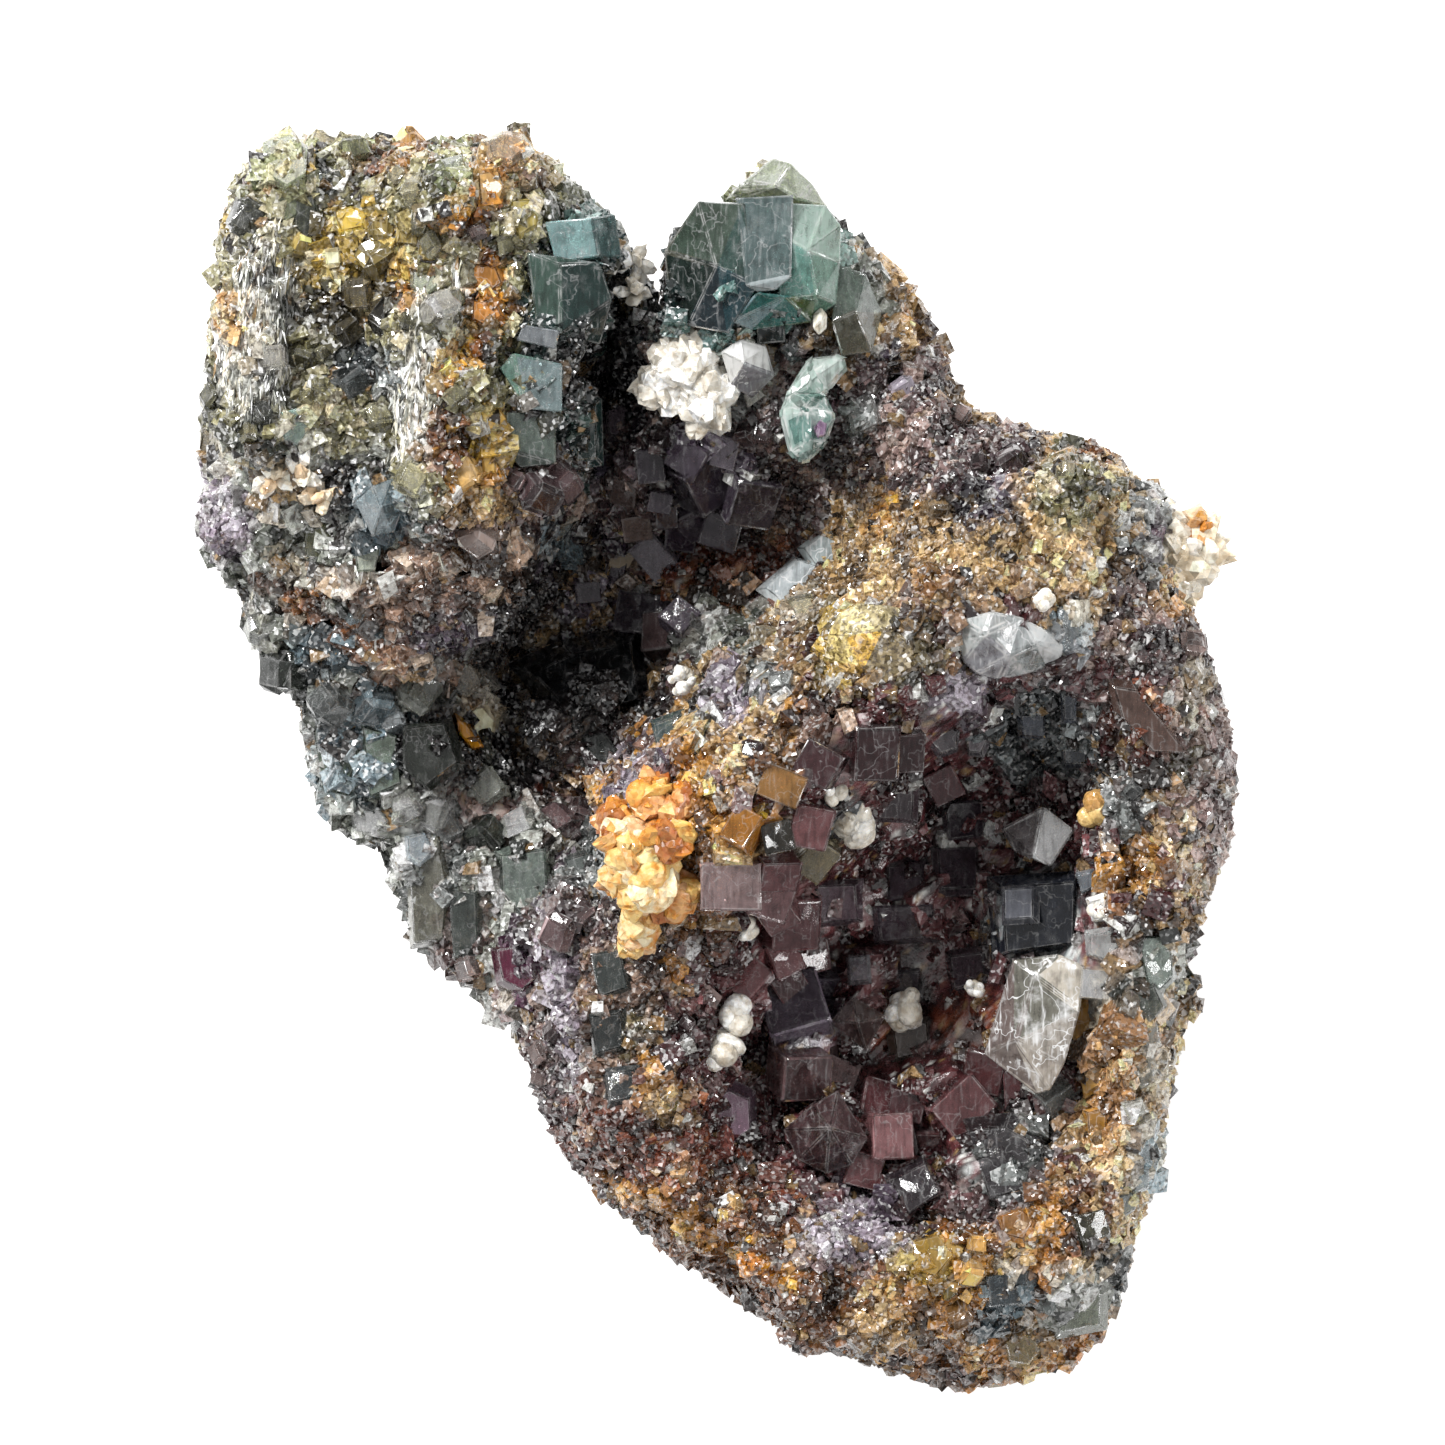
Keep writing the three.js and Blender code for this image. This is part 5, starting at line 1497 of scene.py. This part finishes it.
def convex_crystal(points, edge, rim):
    """The convex crystal through some points: corners, triangles and edges."""
    deselect()
    bpy.ops.mesh.primitive_circle_add(vertices=len(points), fill_type="NOTHING")
    obj = bpy.context.object
    obj.data.vertices.foreach_set("co", points.ravel())
    obj.data.update()
    edit(obj, "VERT")
    bpy.ops.mesh.select_all(action="SELECT")
    bpy.ops.mesh.convex_hull()
    bpy.ops.mesh.delete_loose()
    bpy.ops.mesh.select_all(action="SELECT")
    bpy.ops.mesh.dissolve_limited(angle_limit=FLAT_ANGLE)
    leave_edit()
    on_edge = broken_edges(obj, edge, rim)
    corners, triangles = as_arrays(obj)
    return corners, triangles, np.arange(len(corners)) < on_edge


def faced_crystal(pixels, plane, random):
    """A crystal whose outline is known from the photograph: a flat face with falling sides."""
    across, along, height = plane
    pixels = np.asarray(pixels, float)
    middle = pixels.mean(0)
    width = np.sqrt(np.ptp(pixels[:, 0]) * np.ptp(pixels[:, 1]))
    fall = width * CRYSTAL_SLANT * SENSOR / LENS_LENGTH / PHOTO * LENS_AT[2]
    inner = middle + (pixels - middle) * random.uniform(*FACE_SHARES)
    inner = inner + random.uniform(-FACE_SHIFT, FACE_SHIFT, 2) * width
    rings = [
        on_plane(inner, plane), on_plane(pixels, (across, along, height - fall)),
        on_plane(middle + (pixels - middle) * FOOT_SHARE, (across, along, height - CRYSTAL_DEPTH))]
    return convex_crystal(np.concatenate(rings), CRYSTAL_EDGE, CRYSTAL_RIM)


def rooted_crystal(corners, root, edge, rim):
    """A crystal through corners known in space, rooted in what carries it."""
    tops = in_space(corners)
    middle = tops.mean(0)
    low = middle + (tops - middle) * ROOT_SHARE
    low[:, 2] = root
    return convex_crystal(np.concatenate([tops, low]), edge, rim)


def shades_by_face(corners, triangles, faces):
    """Each triangle's shade: that of the face whose middle is nearest in the photograph."""
    seen = in_photo(corners[triangles].mean(1))
    middles = np.array([face[:2] for face in faces], float)
    nearest = np.linalg.norm(seen[:, None] - middles[None], axis=2).argmin(1)
    return np.array([linear(face[2]) for face in faces])[nearest]


def faces_on(node, kind, random):
    """The crystals of one finish that are listed one by one on a mass."""
    parts = []
    for finish, shade, rise, pixels in FACES.get(node, ()):
        if finish == kind:
            plane = plane_under(pixels, rise, ground())
            corners, triangles, edges = faced_crystal(pixels, plane, random)
            shades = strayed(linear(shade)[None], sides_of(corners, triangles), random)
            parts.append((corners, triangles, shades, edges))
    return parts


def clear_of_traced(points, widths):
    """Which crystals of some widths show clear of those listed one by one and of the calcite."""
    seen, reach = in_photo(points), widths * PIXELS_PER_MM * SHOWING
    free = np.ones(len(points), bool)
    outlines = [row[-1] for group in FACES.values() for row in group]
    outlines += [crystal[1] for row in SOLIDS.values() for crystal in row[-1]]
    for outline in outlines:
        pixels = np.array(outline, float)[:, :2]
        middle = pixels.mean(0)
        own = np.linalg.norm(pixels - middle, axis=1).mean()
        free &= np.linalg.norm(seen - middle, axis=1) > own * COVERING + reach
    for _, root, _, length, width, _, _ in sum(CALCITES.values(), ()):
        middle = in_photo(np.array([root]) + SKETCH)[0]
        own = (length + width) / 2 * PIXELS_PER_MM
        free &= np.linalg.norm(seen - middle, axis=1) > own * COVERING + reach
    return free


def beside(points, obj, reach):
    """Rows of the points that lie within reach of an object, in millimetres."""
    corners, rows = triangles_of(obj)
    tree = BVHTree.FromPolygons(corners.tolist(), rows.tolist())
    near = [tree.find_nearest(Vector(point), reach)[0] is not None for point in points]
    return np.flatnonzero(near)


def scatter(obj, count, random):
    """Points spread over an object's open faces, with their normals."""
    corners, rows = triangles_of(obj)
    a, b, c = (corners[rows[:, side]] for side in range(3))
    across = np.cross(b - a, c - a)
    area = np.linalg.norm(across, axis=1)
    normal = across / np.maximum(area, LEAST_AREA)[:, None]
    under = (normal[:, 2] < UNDERSIDE) & (a[:, 2] < BACK_HEIGHT[1])
    weight = area * np.where(under, UNDERSIDE_SHARE, 1.0)
    weight[a[:, 2] < BARE_BELOW] = 0
    picks = random.choice(len(rows), count * 2, p=weight / weight.sum())
    u, v = random.random((2, len(picks), 1))
    flip = u + v > 1
    u, v = np.where(flip, 1 - u, u), np.where(flip, 1 - v, v)
    points = a[picks] + u * (b - a)[picks] + v * (c - a)[picks]
    normal = normal[picks]
    tree = ground()
    open_air = np.array([
        tree.ray_cast(Vector(point + direction * OPEN_FROM), Vector(direction), OPEN_REACH)[0] is None
        for point, direction in zip(points, normal)])
    keep = np.flatnonzero(open_air)[:count]
    return points[keep], normal[keep]


def spaced(points, radii):
    """Rows of the points that keep clear of the ones before them."""
    kept = []
    for row in range(len(points)):
        if kept:
            gap = np.linalg.norm(points[kept] - points[row], axis=1)
            if (gap < CLOSEST * (radii[kept] + radii[row])).any():
                continue
        kept.append(row)
    return np.array(kept)


def leaning(normals, random, tilt):
    """Directions that stray from the normals."""
    return normals + random.normal(0, tilt, normals.shape)


class Mass:
    """One of the masses that carry the specimen, dressed from its CAD node."""

    def __init__(self, node):
        self.node = node
        (self.slot, self.finish, self.relief, self.step, self.brightness, self.grains,
         self.cubes, self.cube, self.widths, self.body_name, self.grain_name,
         self.cube_name) = MASSES[node]
        self.random = np.random.default_rng(sorted(MASSES).index(node) + MASS_SEED)

    def make_body(self, settings):
        mesh = frame["nodes"][self.node].data.copy()
        obj = bpy.data.objects.new(self.body_name, mesh)
        bpy.context.scene.collection.objects.link(obj)
        mesh.materials.clear()
        edit(obj, "VERT")
        bpy.ops.mesh.select_all(action="SELECT")
        bpy.ops.mesh.remove_doubles(threshold=SAME_CORNER)
        leave_edit()
        apply_modifier(obj, "REMESH", mode="VOXEL", voxel_size=self.step * MM)
        lumps = bpy.data.textures.new("lumps", "VORONOI")
        lumps.noise_scale = settings.lump_width
        crumbs = bpy.data.textures.new("crumbs", "CLOUDS")
        crumbs.noise_scale, crumbs.noise_depth = settings.crumb_width, 1
        apply_modifier(obj, "DISPLACE", texture=lumps, mid_level=LUMP_LEVEL, texture_coords="LOCAL",
                       strength=-settings.lump_height * self.relief)
        apply_modifier(obj, "DISPLACE", texture=crumbs, mid_level=CRUMB_LEVEL, texture_coords="LOCAL",
                       strength=settings.crumb_height * self.relief)
        corners, _ = triangles_of(obj)
        corners = trimmed(corners)
        corners[:, 2] = np.maximum(corners[:, 2], 0)
        obj.data.vertices.foreach_set("co", (corners * MM).astype(np.float32).ravel())
        obj.data.update()
        obj.data.shade_flat()
        found = minerals_at(corners, self.random)
        shades = soft_shades(found, corners, self.random, BODY_SPREAD)
        # In the hollow the brightness paints its shade
        paint(obj.data, "POINT", shades * self.brightness)
        obj.data.materials.append(finish_of(self.finish))
        settle(obj, [self.node])
        return obj

    def grow_grains(self, settings):
        """Small crystals all over the mass, with the silver columns as a piece of their own."""
        random = self.random
        body = body_of(self.node)
        points, normals = scatter(body, self.grains, random)
        seam = len(points)
        found = minerals_at(points, random)
        kinds = list(MINERALS.values())
        low = np.array([kind[1] for kind in kinds])[found]
        high = np.array([kind[2] for kind in kinds])[found]
        width = low + (high - low) * random.random(len(points)) ** GRAIN_BIAS
        width = width * settings.grain_scale
        if self.node != "matrix_rock":
            more, ways = scatter(body, SEAM_TRIES, random)
            rows = beside(more, body_of("matrix_rock"), SEAM)
            points = np.concatenate([points, more[rows]])
            normals = np.concatenate([normals, ways[rows]])
            found = np.concatenate([found, minerals_at(more[rows], random)])
            width = np.concatenate([width, random.uniform(*SEAM_WIDTHS, len(rows))])
        shades = soft_shades(found, points, random, GRAIN_SPREAD)
        names = np.array([kind[0] for kind in kinds])[found]
        names[(names != "column") & (random.random(len(names)) < SPLINTERS)] = "splinter"
        names[seam:] = "splinter"
        columns, grains = [], []
        for name in sorted(set(names)):
            rows = np.flatnonzero(names == name)
            size = width[rows, None] * random.uniform(*GRAIN_WIDTHS, (len(rows), 3))
            spins, tilt, jitter = random.random(len(rows)) * FULL_TURN, GRAIN_TILT, GRAIN_JITTER
            if name == "column":
                size *= COLUMN
                spins = random.normal(*COLUMN_SPIN, len(rows))
                tilt, jitter = COLUMN_TILT, COLUMN_JITTER
            rotations = upright(leaning(normals[rows], random, tilt), spins)
            middles = points[rows] - normals[rows] * width[rows, None] * GRAIN_DEPTH
            form = "splinter" if name in ("splinter", "column") else "chip"
            kept = columns if name == "column" else grains
            kept.append((form, middles, size, rotations, shades[rows], jitter))
        self.grain_pieces(self.grain_name, grains, "grain")
        self.grain_pieces(self.grain_name + "_columns", columns, "column")

    def grain_pieces(self, name, rows, finish):
        """Grains of one finish, in as many objects as their number asks for."""
        number = 0
        for form, *arrays, jitter in rows:
            for start in range(0, len(arrays[0]), MOST_GRAINS):
                number += 1
                part = [array[start:start + MOST_GRAINS] for array in arrays]
                full_name = name if number == 1 else f"{name}_{number}"
                made = copies(form, *part, jitter, self.random)
                piece(full_name, *made, finish_of(finish), self.slot)

    def grow_cubes(self):
        """Cubes grown over the mass, with those listed one by one, one object for each finish."""
        random = self.random
        points, normals = scatter(body_of(self.node), self.cubes * CUBE_TRIES, random)
        low, high = self.widths
        width = low + (high - low) * random.random(len(points)) ** CUBE_BIAS
        names = np.array(list(MINERALS))[minerals_at(points, random)]
        finish = np.array([GLASS_OF.get(name, "none") for name in names])
        keep = np.flatnonzero(
            (finish != "none") & (points[:, 2] > BACK_HEIGHT[0]) & (normals[:, 2] > STEEPEST)
            & clear_of_traced(points, width))
        points, normals, width, finish = (row[keep] for row in (points, normals, width, finish))
        keep = spaced(points, width / 2 * CUBE_ROOM)[:self.cubes]
        points, normals, width, finish = (row[keep] for row in (points, normals, width, finish))
        chances = random.random((2, len(points)))
        found = minerals_at(points, random)
        shades = shades_of(found, points, chances, CUBE_SPREAD[self.cube], ())
        # In the hollow the brightness paints its shade
        shades = shades ** GLASS_PALENESS * self.brightness
        odd = random.random(len(points))
        finish[odd < CLEAR_CUBES] = "clear"
        finish[(odd > BRIGHT_CUBES) & np.isin(finish, ("grey", "clear"))] = "crystal"
        for kind in GLASSES:
            parts = faces_on(self.node, kind, random)
            mine = np.flatnonzero(finish == kind)
            if len(mine):
                size = width[mine, None] * random.uniform(*CUBE_WIDTHS, (len(mine), 3))
                ways, spins = normals[mine], random.random(len(mine)) * FULL_TURN
                if self.cube == "cube":
                    ways, spins = ways + FRONTAL, random.normal(0, FRONTAL_SPIN, len(mine))
                rotations = upright(leaning(ways, random, CUBE_TILT), spins)
                middles = points[mine] + normals[mine] * width[mine, None] * CUBE_HEIGHT
                jitter = CUBE_JITTER[self.cube]
                parts.append(
                    copies(self.cube, middles, size, rotations, shades[mine], jitter, random))
            if parts:
                piece(f"{self.cube_name}_{kind}", *joined(parts), finish_of(kind), self.slot)


# The glassy finish of the cubes that grow on each mineral; on the others none grow
GLASS_OF = {
    "teal": "teal", "teal_dark": "teal", "teal_pale": "clear", "purple": "purple",
    "violet": "purple", "plateau": "purple", "olive": "clear",
    "olive_yellow": "amber", "olive_dark": "grey", "ochre": "amber", "yellow": "amber",
    "maroon": "purple", "blue_grey": "clear", "glass_grey": "clear", "cream": "clear",
    "pale_green": "clear", "glass_green": "grey", "steel": "grey",
}
GLASSES = ("teal", "grey", "purple", "clear", "milky", "amber", "crystal", "calcite")

# Bunches: the turn from one crystal to the next and how much it strays, in radians; how far from
# the middle the first one stands; how far their roots stray; and how uneven their corners are
GOLDEN_TURN, BUNCH_SPIN, BUNCH_START, BUNCH_STRAY = 2.39996, 0.25, 0.3, 0.15
BUNCH_JITTER = {"petal": 0.06, "lump": 0.03}
# The crystals of a bunch, as shares of its width and length: how wide, how thick and how long
# they are at least and at most, how large its lumps are, and how far out those sit
CRYSTAL_WIDTHS, CRYSTAL_THICKNESSES, CRYSTAL_LENGTHS = (0.75, 1.25), (0.5, 0.9), (0.75, 1.1)
LUMP_SIZES, LUMP_RISE = (0.55, 1.1), 0.5


def bunch(kind, root, count, length, width, lean, shades, random, about=(0, 0, 1)):
    """Crystals or lumps that fan out from one root: corners, triangles, shades and edges."""
    turn = np.arange(count) * GOLDEN_TURN + random.normal(0, BUNCH_SPIN, count)
    slant = np.radians(lean) * np.sqrt((np.arange(count) + BUNCH_START) / count)
    ways = np.stack([np.cos(turn) * np.sin(slant), np.sin(turn) * np.sin(slant), np.cos(slant)], 1)
    ways = ways @ upright(np.array([about], float), np.zeros(1))[0].T
    size = np.stack([
        width * random.uniform(*CRYSTAL_WIDTHS, count),
        width * random.uniform(*CRYSTAL_THICKNESSES, count),
        length * random.uniform(*CRYSTAL_LENGTHS, count)], 1)
    middles = np.array(root) + SKETCH + random.normal(0, BUNCH_STRAY, (count, 3))
    if kind == "lump":
        middles = middles + ways * length * LUMP_RISE
        size = width * random.uniform(*LUMP_SIZES, (count, 3))
    rotations = upright(ways, random.random(count) * FULL_TURN)
    picks = np.array([linear(shade) for shade in shades])[random.integers(0, len(shades), count)]
    return copies(kind, middles, size, rotations, picks, BUNCH_JITTER[kind], random)


# Settings


class StageSettings(bpy.types.PropertyGroup):
    key: FloatProperty(name="Window light", description="Power of the window at the upper left",
                       default=2.8, unit="POWER")
    fill: FloatProperty(name="Fill light", description="Power of the soft light from the right",
                        default=0.95, unit="POWER")
    sky: FloatProperty(name="Room light", description="Brightness of the light from all round",
                       default=0.68)
    floor: FloatVectorProperty(name="Floor colour", description="Colour of the pale floor",
                               default=(0.9, 0.9, 0.9), subtype="COLOR")


class MassSettings(bpy.types.PropertyGroup):
    lump_width: FloatProperty(name="Lump width", description="Width of the lumps",
                              default=1.3 * MM, unit="LENGTH", precision=5)
    lump_height: FloatProperty(name="Lump height", description="Height of the lumps",
                               default=0.6 * MM, unit="LENGTH", precision=5)
    crumb_width: FloatProperty(name="Crumb width", description="Width of the fine lumps",
                               default=0.4 * MM, unit="LENGTH", precision=5)
    crumb_height: FloatProperty(name="Crumb height", description="Height of the fine lumps",
                                default=0.5 * MM, unit="LENGTH", precision=5)
    grain_scale: FloatProperty(name="Grain size", description="Size of the grains", default=0.85)


class RockBodies(bpy.types.Operator):
    """Shapes the rock and the masses of fluorite from the CAD solids"""
    bl_idname = "specimen.bodies"
    bl_label = "Rock and masses"

    def execute(self, context):
        for node in MASSES:
            Mass(node).make_body(context.scene.specimen_masses)
        return {"FINISHED"}


class Druse(bpy.types.Operator):
    """Covers the masses with small grains of each mineral"""
    bl_idname = "specimen.druse"
    bl_label = "Druse"

    def execute(self, context):
        for node in MASSES:
            Mass(node).grow_grains(context.scene.specimen_masses)
        return {"FINISHED"}


class Cubes(bpy.types.Operator):
    """Grows the fluorite cubes"""
    bl_idname = "specimen.cubes"
    bl_label = "Fluorite cubes"

    def execute(self, context):
        for node in MASSES:
            Mass(node).grow_cubes()
        return {"FINISHED"}


WHITE = ((240, 237, 230), (226, 220, 208), (248, 246, 241), (206, 200, 188))
PEACH = ((240, 232, 216), (236, 220, 194), (226, 198, 164), (246, 240, 230))
AMBER = ((218, 160, 76), (194, 126, 50), (230, 188, 108), (160, 100, 48), (208, 158, 104))
CREAM = ((232, 208, 156), (224, 190, 124), (240, 222, 184), (208, 162, 98), (220, 184, 142))
# Groups of calcite, by node or name: shape, root, crystals, length, width, lean and shades
CALCITES = {
    "calcite_rosette": (
        ("petal", (-1.6, 22.4, 21.8), 30, 2.5, 2.3, 92, WHITE),
        ("petal", (-0.4, 20.4, 22.0), 20, 2.3, 2.1, 92, WHITE),
        ("petal", (-2.8, 21.2, 21.6), 15, 1.9, 1.9, 92, WHITE),
    ),
    "edge_calcite": (
        ("petal", (26, 11.8, 19.6), 40, 3.0, 2.4, 96, PEACH),
        ("petal", (27.2, 13.4, 20.4), 8, 1.3, 0.9, 60, AMBER),
    ),
    "bowl_calcite_1": (
        ("lump", (7.8, -3.0, 25.0), 8, 1.3, 1.9, 90, WHITE),
        ("lump", (6.7, -1.5, 28.4), 5, 0.8, 1.0, 90, WHITE),
    ),
    "bowl_calcite_2": (
        ("lump", (21.5, -2.4, 22.4), 9, 1.3, 1.6, 90, CREAM),
    ),
    "bowl_calcite_3": (
        ("lump", (10.9, -13.8, 16.2), 8, 1.3, 1.7, 90, WHITE),
    ),
    "bowl_calcite_4": (
        ("lump", (1.8, -9.0, 22.2), 5, 0.5, 1.4, 80, WHITE),
    ),
    "bowl_calcite_5": (
        ("lump", (0.6, -15.8, 20.6), 7, 0.9, 1.8, 90, WHITE),
        ("lump", (1.3, -13.9, 20.6), 7, 0.9, 1.7, 90, WHITE),
    ),
    "small_calcite": (
        ("lump", (14.8, -12.3, 18.6), 8, 0.8, 0.7, 90, WHITE),
        ("lump", (18.1, 9.2, 31.0), 8, 0.5, 0.9, 90, WHITE),
        ("petal", (-24.4, 16.2, 24.2), 9, 1.3, 1.2, 90, PEACH),
        ("petal", (-22.8, 16.6, 24.2), 9, 1.3, 1.2, 90, PEACH),
        ("petal", (-21.8, 15.0, 24.0), 7, 1.2, 1.0, 90, PEACH),
        ("petal", (-4.5, 28.2, 22.0), 8, 1.3, 1.1, 90, WHITE),
        ("petal", (-4.2, 26.6, 22.0), 7, 1.1, 1.0, 90, WHITE),
        ("lump", (-1.6, 5.0, 20.6), 8, 0.9, 0.8, 90, WHITE),
        ("lump", (21.7, -7.9, 23.2), 8, 0.7, 0.9, 90, WHITE),
    ),
}
# The ochre spray's knobs: root, reach, width, the way each leans, and shades
OCHRE_KNOBS = (
    ((-5.0, -3.0, 27.2), 1.9, 1.9, (-0.6, 0.3, 1), AMBER),
    ((-3.4, -1.6, 28.0), 2.0, 2.0, (0, 0.4, 1), AMBER),
    ((-4.3, -4.2, 27.6), 2.4, 2.4, (-0.2, 0.1, 1), CREAM),
    ((-3.6, -5.8, 27.4), 2.6, 2.6, (-0.1, 0, 1), CREAM),
    ((-2.4, -3.8, 28.4), 2.0, 2.0, (0.2, 0.2, 1), AMBER),
    ((-2.2, -6.9, 26.4), 2.2, 2.2, (0.2, -0.2, 1), AMBER),
    ((-3.8, -7.8, 25.8), 2.0, 2.0, (-0.2, -0.4, 1), CREAM),
    ((-4.9, -6.2, 26.6), 1.7, 1.7, (-0.6, -0.2, 1), CREAM),
    ((-4.2, -9.2, 25.0), 1.5, 1.5, (-0.3, -0.6, 1), CREAM),
    ((-1.6, -1.8, 28.2), 1.6, 1.6, (0.3, 0.3, 1), AMBER),
)
# What each knob is made of: shape, crystals, shares of its reach and of its width, and lean
KNOB_PARTS = (("petal", 9, 0.9, 0.95, 75), ("lump", 3, 0.7, 1, 60))
CALCITE_SEED = 5


class Calcite(bpy.types.Operator):
    """Sets the white and ochre calcite"""
    bl_idname = "specimen.calcite"
    bl_label = "Calcite"

    def execute(self, context):
        random = np.random.default_rng(CALCITE_SEED)
        for node, rows in CALCITES.items():
            parts = [bunch(*row, random) for row in rows]
            stands_for = [node] if node in frame["nodes"] else []
            piece(node + "_crystals", *joined(parts), finish_of("calcite"), "calcite", stands_for)
        knobs = []
        for root, reach, width, about, shades in OCHRE_KNOBS:
            for kind, count, longer, wider, lean in KNOB_PARTS:
                knobs.append(bunch(
                    kind, root, count, reach * longer, width * wider, lean, shades, random, about))
        piece("ochre_calcite_crystals", *joined(knobs), finish_of("ochre"), "ochre_calcite",
              ["ochre_calcite"])
        return {"FINISHED"}


class SingleCrystals(bpy.types.Operator):
    """Sets the large crystals whose corners are known"""
    bl_idname = "specimen.singles"
    bl_label = "Single crystals"

    def execute(self, context):
        for name, (finish, slot, node, crystals) in SOLIDS.items():
            parts = []
            edge, rim = WORN_EDGES.get(finish, CRYSTAL_EDGE), RIMS.get(finish, CRYSTAL_RIM)
            for root, outline, faces in crystals:
                corners, triangles, edges = rooted_crystal(outline, root, edge, rim)
                shades = shades_by_face(corners, triangles, faces)
                parts.append((corners, triangles, shades, edges))
            piece(name, *joined(parts), finish_of(finish), slot, [node] if node else [])
        return {"FINISHED"}


# The lamps: name, place and width in metres, the setting that their power comes from and the
# share of it that they get, and the height in millimetres that they point at
LAMPS = (
    ("window", (-0.26, 0.24, 0.32), 0.09, "key", 1),
    ("second_window", (-0.08, 0.34, 0.34), 0.06, "key", 0.35),
    ("fill", (0.35, -0.1, 0.3), 0.12, "fill", 1),
)
LAMPS_AIM = 20
# The floor: its width in metres, how far it lies below the specimen in millimetres, how rough it
# is and how much it glows
FLOOR_WIDTH, FLOOR_DROP, FLOOR_ROUGHNESS, FLOOR_GLOW = 2.4, 0.02, 0.8, 0.35
LENS_RANGE = (0.05, 5)  # nearest and farthest that the lens sees, in metres


class Stage(bpy.types.Operator):
    """Sets the pale floor, the window, the room light and the camera"""
    bl_idname = "specimen.stage"
    bl_label = "Stage"

    def execute(self, context):
        settings = context.scene.specimen_stage
        deselect()
        bpy.ops.mesh.primitive_plane_add(size=FLOOR_WIDTH, location=(0, 0, -FLOOR_DROP * MM))
        floor = context.object
        floor.name = "floor"
        finish = Finish("floor_paint")
        floor.data.materials.append(finish.surface({
            "Base Color": (*settings.floor, 1),
            "Roughness": FLOOR_ROUGHNESS,
            "Emission Color": (1, 1, 1, 1),
            "Emission Strength": FLOOR_GLOW,
        }))
        middle = Vector((0, 0, LAMPS_AIM * MM))
        for name, place, width, setting, share in LAMPS:
            lamp = bpy.data.lights.new(name, "AREA")
            lamp.energy, lamp.size = getattr(settings, setting) * share, width
            obj = bpy.data.objects.new(name, lamp)
            obj.location = place
            obj.rotation_euler = (Vector(place) - middle).to_track_quat("Z", "Y").to_euler()
            context.scene.collection.objects.link(obj)
        world = bpy.data.worlds.new("room")
        context.scene.world = world
        world.use_nodes = True
        background = world.node_tree.nodes["Background"]
        background.inputs["Color"].default_value = (1, 1, 1, 1)
        background.inputs["Strength"].default_value = settings.sky
        lens = bpy.data.cameras.new("camera")
        lens.lens, lens.sensor_width = LENS_LENGTH, SENSOR
        lens.clip_start, lens.clip_end = LENS_RANGE
        camera = bpy.data.objects.new("camera", lens)
        camera.location = LENS_AT * MM
        context.scene.collection.objects.link(camera)
        context.scene.camera = camera
        context.scene.view_settings.view_transform = "Standard"
        return {"FINISHED"}


OPERATORS = (Stage, RockBodies, Druse, Cubes, Calcite, SingleCrystals)


class SpecimenPanel(bpy.types.Panel):
    """Lists the steps that make the specimen, and their settings"""
    bl_idname = "VIEW3D_PT_specimen"
    bl_label = "Fluorite specimen"
    bl_space_type = "VIEW_3D"
    bl_region_type = "UI"
    bl_category = "Specimen"

    def draw(self, context):
        for group in (context.scene.specimen_stage, context.scene.specimen_masses):
            for key in group.bl_rna.properties.keys():
                if key not in ("rna_type", "name"):
                    self.layout.prop(group, key)
        for operator in OPERATORS:
            self.layout.operator(operator.bl_idname)


CLASSES = (StageSettings, MassSettings, *OPERATORS, SpecimenPanel)


def register():
    for entry in CLASSES:
        bpy.utils.register_class(entry)
    bpy.types.Scene.specimen_stage = PointerProperty(type=StageSettings)
    bpy.types.Scene.specimen_masses = PointerProperty(type=MassSettings)


def unregister():
    del bpy.types.Scene.specimen_masses
    del bpy.types.Scene.specimen_stage
    for entry in reversed(CLASSES):
        bpy.utils.unregister_class(entry)


def main():
    register()
    bpy.ops.specimen.stage()
    bpy.ops.specimen.bodies()
    bpy.ops.specimen.druse()
    bpy.ops.specimen.cubes()
    bpy.ops.specimen.calcite()
    bpy.ops.specimen.singles()


if __name__ == "__main__":
    main()
